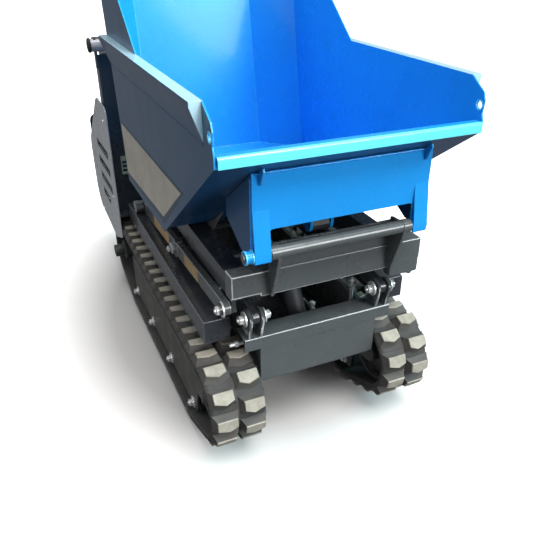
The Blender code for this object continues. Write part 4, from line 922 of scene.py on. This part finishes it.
def controls():
    """Lever gates, knobs, handlebar grips, the dial and the footboard's tread."""
    for name in LEVER_NAMES:
        low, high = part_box(name)
        x, top = (low.x + high.x) / 2, high.z
        shape = bmesh.new()
        lathe(shape, [(-0.064, 0.0), (-0.064, 0.0085), (-0.050, 0.0145), (-0.020, 0.0160), (-0.006, 0.0155),
                      (0.0, 0.0105), (0.0012, 0.0)], (x, high.y - 0.0145, top), (0, 0.10, 1), 28)
        piece(f"{name}_knob", shape, GRIP, body_of(name))
    slope = (0.985 - 1.090) / 0.300          # the console's top falls towards the rear
    dial_place = (0.262, 0.640, 1.062)
    shape, screws = bmesh.new(), bmesh.new()
    for name in LEVER_NAMES:
        x = middle(name).x
        front, rear = (Vector((x, y, 1.090 + slope * (y - 0.560) + 0.0012)) for y in (0.650, 0.750))
        for start, end, across in ((front, rear, -0.0135), (front, rear, 0.0135)):
            bar(shape, start + Vector((across, 0, 0)), end + Vector((across, 0, 0)), 0.0030, 12)
        for end in (front, rear):
            bar(shape, end - Vector((0.0150, 0, 0)), end + Vector((0.0150, 0, 0)), 0.0030, 12)
        for end, out in ((front, -0.010), (rear, 0.010)):
            hexagon_bolt(screws, end + Vector((0.0, out, slope * out - 0.0012)), (0, -slope, 1), 0.008)
    piece("lever_gates", shape, GRIP, "chassis")
    piece("gate_screws", screws, ZINC, "chassis")
    shape = bmesh.new()
    lathe(shape, [(-0.002, 0.0), (-0.002, 0.034), (0.006, 0.034), (0.009, 0.030), (0.0075, 0.027),
                  (0.0075, 0.0)], dial_place, (0, -slope, 1), 40)
    piece("dial", shape, GRIP, "chassis")
    shape = bmesh.new()
    lathe(shape, [(0.0070, 0.0), (0.0070, 0.0262), (0.0082, 0.0262), (0.0082, 0.0)], dial_place,
          (0, -slope, 1), 40)
    piece("dial_face", shape, PALE, "chassis")
    shape = bmesh.new()
    low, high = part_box("handlebar")
    for side in (-1, 1):
        for k in range(12):
            x = side * (0.080 + 0.010 * k)
            lathe(shape, [(-0.0044, 0.0130), (-0.0034, 0.01405), (0.0034, 0.01405), (0.0044, 0.0130)],
                  (x, high.y - 0.0140, high.z - 0.0140), steps=24, closed=True)
    piece("bar_grips", shape, GRIP, "chassis")
    shape = bmesh.new()
    low, tread_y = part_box("footboard")[0], middle("footboard").y + 0.0062
    for row in range(9):
        for column in range(12):
            x = -0.176 + 0.032 * column + (0.016 if row % 2 else 0.0)
            z = low.z + 0.035 + 0.026 * row
            if x > 0.180:
                continue
            tilt = 0.006 if (row + column) % 2 else -0.006
            bar(shape, (x - 0.007, tread_y, z - tilt), (x + 0.007, tread_y, z + tilt), 0.0017, 8)
    piece("footboard_tread", shape, DARK, body_of("footboard"))


def arm_label(shape, face, side, start, end):
    """A plain strip on an outer arm's face, between two distances from its front pivot."""
    pin_low, pin_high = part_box("outer_arm_right")
    pivot = Vector((0.0, pin_low.y + 0.022, pin_high.z - 0.022))
    foot = Vector((0.0, pin_high.y - 0.022, pin_low.z + 0.022))
    way = (foot - pivot).normalized()
    over = Vector((0.0, -way.z, way.y))
    corners = [pivot + way * s + over * t
               for s, t in ((start, -0.021), (end, -0.021), (end, 0.021), (start, 0.021))]
    low, high = sorted((face - side * 0.001, face + side * 0.0006))
    plate(shape, [(c.y, c.z) for c in corners], low, high)


# --- Stage, light and camera --------------------------------------------------------------------
def staged(name, shape, material):
    """An object of the studio itself, which lights nothing and shows in no reflection."""
    mesh = bpy.data.meshes.new(name)
    shape.to_mesh(mesh)
    shape.free()
    mesh.materials.append(material)
    obj = bpy.data.objects.new(name, mesh)
    bpy.context.scene.collection.objects.link(obj)
    obj.visible_diffuse = False
    obj.visible_glossy = False
    obj.visible_transmission = False
    return obj


def stage():
    """A pale floor that glows white away from the machine, a white backdrop and six soft lights."""
    pale = Nodes("pale floor", 0.9)
    pale.shader.inputs["Specular IOR Level"].default_value = 0.1
    pale.colour(pale.mix(pale.noise(3.0, 3.0), (0.55, 0.54, 0.53), (0.57, 0.56, 0.55)))
    spread = pale.add("ShaderNodeMapping")
    spread.inputs["Scale"].default_value = (1 / 1.05, 1 / 1.55, 1.0)
    pale.link(pale.place, spread.inputs["Vector"])
    length = pale.add("ShaderNodeVectorMath", operation="LENGTH")
    pale.link(spread.outputs["Vector"], length.inputs[0])
    glow = pale.math("MULTIPLY", pale.ramp(length.outputs["Value"], 0.50, 1.02), 0.90)
    pale.shader.inputs["Emission Color"].default_value = (1.0, 1.0, 1.0, 1.0)
    pale.link(glow, pale.shader.inputs["Emission Strength"])
    shape = bmesh.new()
    bmesh.ops.create_circle(shape, cap_ends=True, segments=64, radius=30.0)
    staged("floor", shape, pale.material).location.z = GROUND - 0.0008
    white = Nodes("backdrop white", 0.9)
    white.shader.inputs["Specular IOR Level"].default_value = 0.0
    white.colour(white.mix(white.noise(0.5, 2.0), (0.80, 0.80, 0.80), (0.82, 0.82, 0.82)))
    white.shader.inputs["Emission Color"].default_value = (1.0, 1.0, 1.0, 1.0)
    white.shader.inputs["Emission Strength"].default_value = 1.0
    shape = bmesh.new()
    bmesh.ops.create_uvsphere(shape, u_segments=48, v_segments=24, radius=29.0)
    staged("backdrop", shape, white.material).visible_shadow = False
    world = bpy.data.worlds.new("studio")
    world.use_nodes = True
    background = world.node_tree.nodes["Background"]
    background.inputs["Color"].default_value = (0.90, 0.95, 1.0, 1.0)
    background.inputs["Strength"].default_value = 0.20
    bpy.context.scene.world = world
    bpy.context.scene.view_settings.view_transform = "Standard"
    soft_light("top", (0.12, -0.36, 0.925), 3.7, 36.0)
    soft_light("key", (0.42, -0.83, 0.36), 2.3, 26.0)
    soft_light("fill", (0.86, -0.24, 0.45), 1.5, 16.0, (0.48, 0.96, 1.0))
    soft_light("sheen", (0.88, -0.30, 0.36), 0.45, 40.0, (0.20, 0.80, 1.0))
    soft_light("left", (-0.90, -0.25, 0.35), 0.45, 40.0)
    soft_light("rear", (-0.45, 0.60, 0.66), 0.7, 40.0)


def soft_light(name, toward, strength, spread, tint=(1.0, 1.0, 1.0)):
    """A broad, even light from far away, coming from one direction."""
    light = bpy.data.lights.new(name, "SUN")
    light.energy = strength
    light.color = tint
    light.angle = math.radians(spread)
    obj = bpy.data.objects.new(name, light)
    obj.location = Vector(toward) * 5.0
    obj.rotation_euler = Vector(toward).to_track_quat("Z", "Y").to_euler()
    bpy.context.scene.collection.objects.link(obj)


def camera():
    """At the viewing angle of the reference: in front, to the left and about 30 degrees up."""
    place = Vector((-0.7839, -2.1629, 1.5080))
    azimuth, elevation, roll = math.radians(-25.07), math.radians(29.98), math.radians(0.544)
    back = Vector((math.sin(azimuth) * math.cos(elevation), -math.cos(azimuth) * math.cos(elevation),
                   math.sin(elevation)))
    right = Vector((0.0, 0.0, 1.0)).cross(back).normalized()
    up = back.cross(right)
    side = right * math.cos(roll) + up * math.sin(roll)
    above = up * math.cos(roll) - right * math.sin(roll)
    turn = Matrix((side, above, back)).transposed().to_4x4()
    data = bpy.data.cameras.new("camera")
    data.sensor_width = 36.0
    data.lens = 38.52
    data.clip_end = 100.0
    obj = bpy.data.objects.new("camera", data)
    obj.matrix_world = Matrix.Translation(place) @ turn
    bpy.context.scene.collection.objects.link(obj)
    bpy.context.scene.camera = obj


camera()
stage()
tracks()
running_gear()
frame_pieces()
skip()
skip_details()
labels()
fasteners()
rear_wall()
engine_bay()
controls()
bpy.context.view_layer.update()
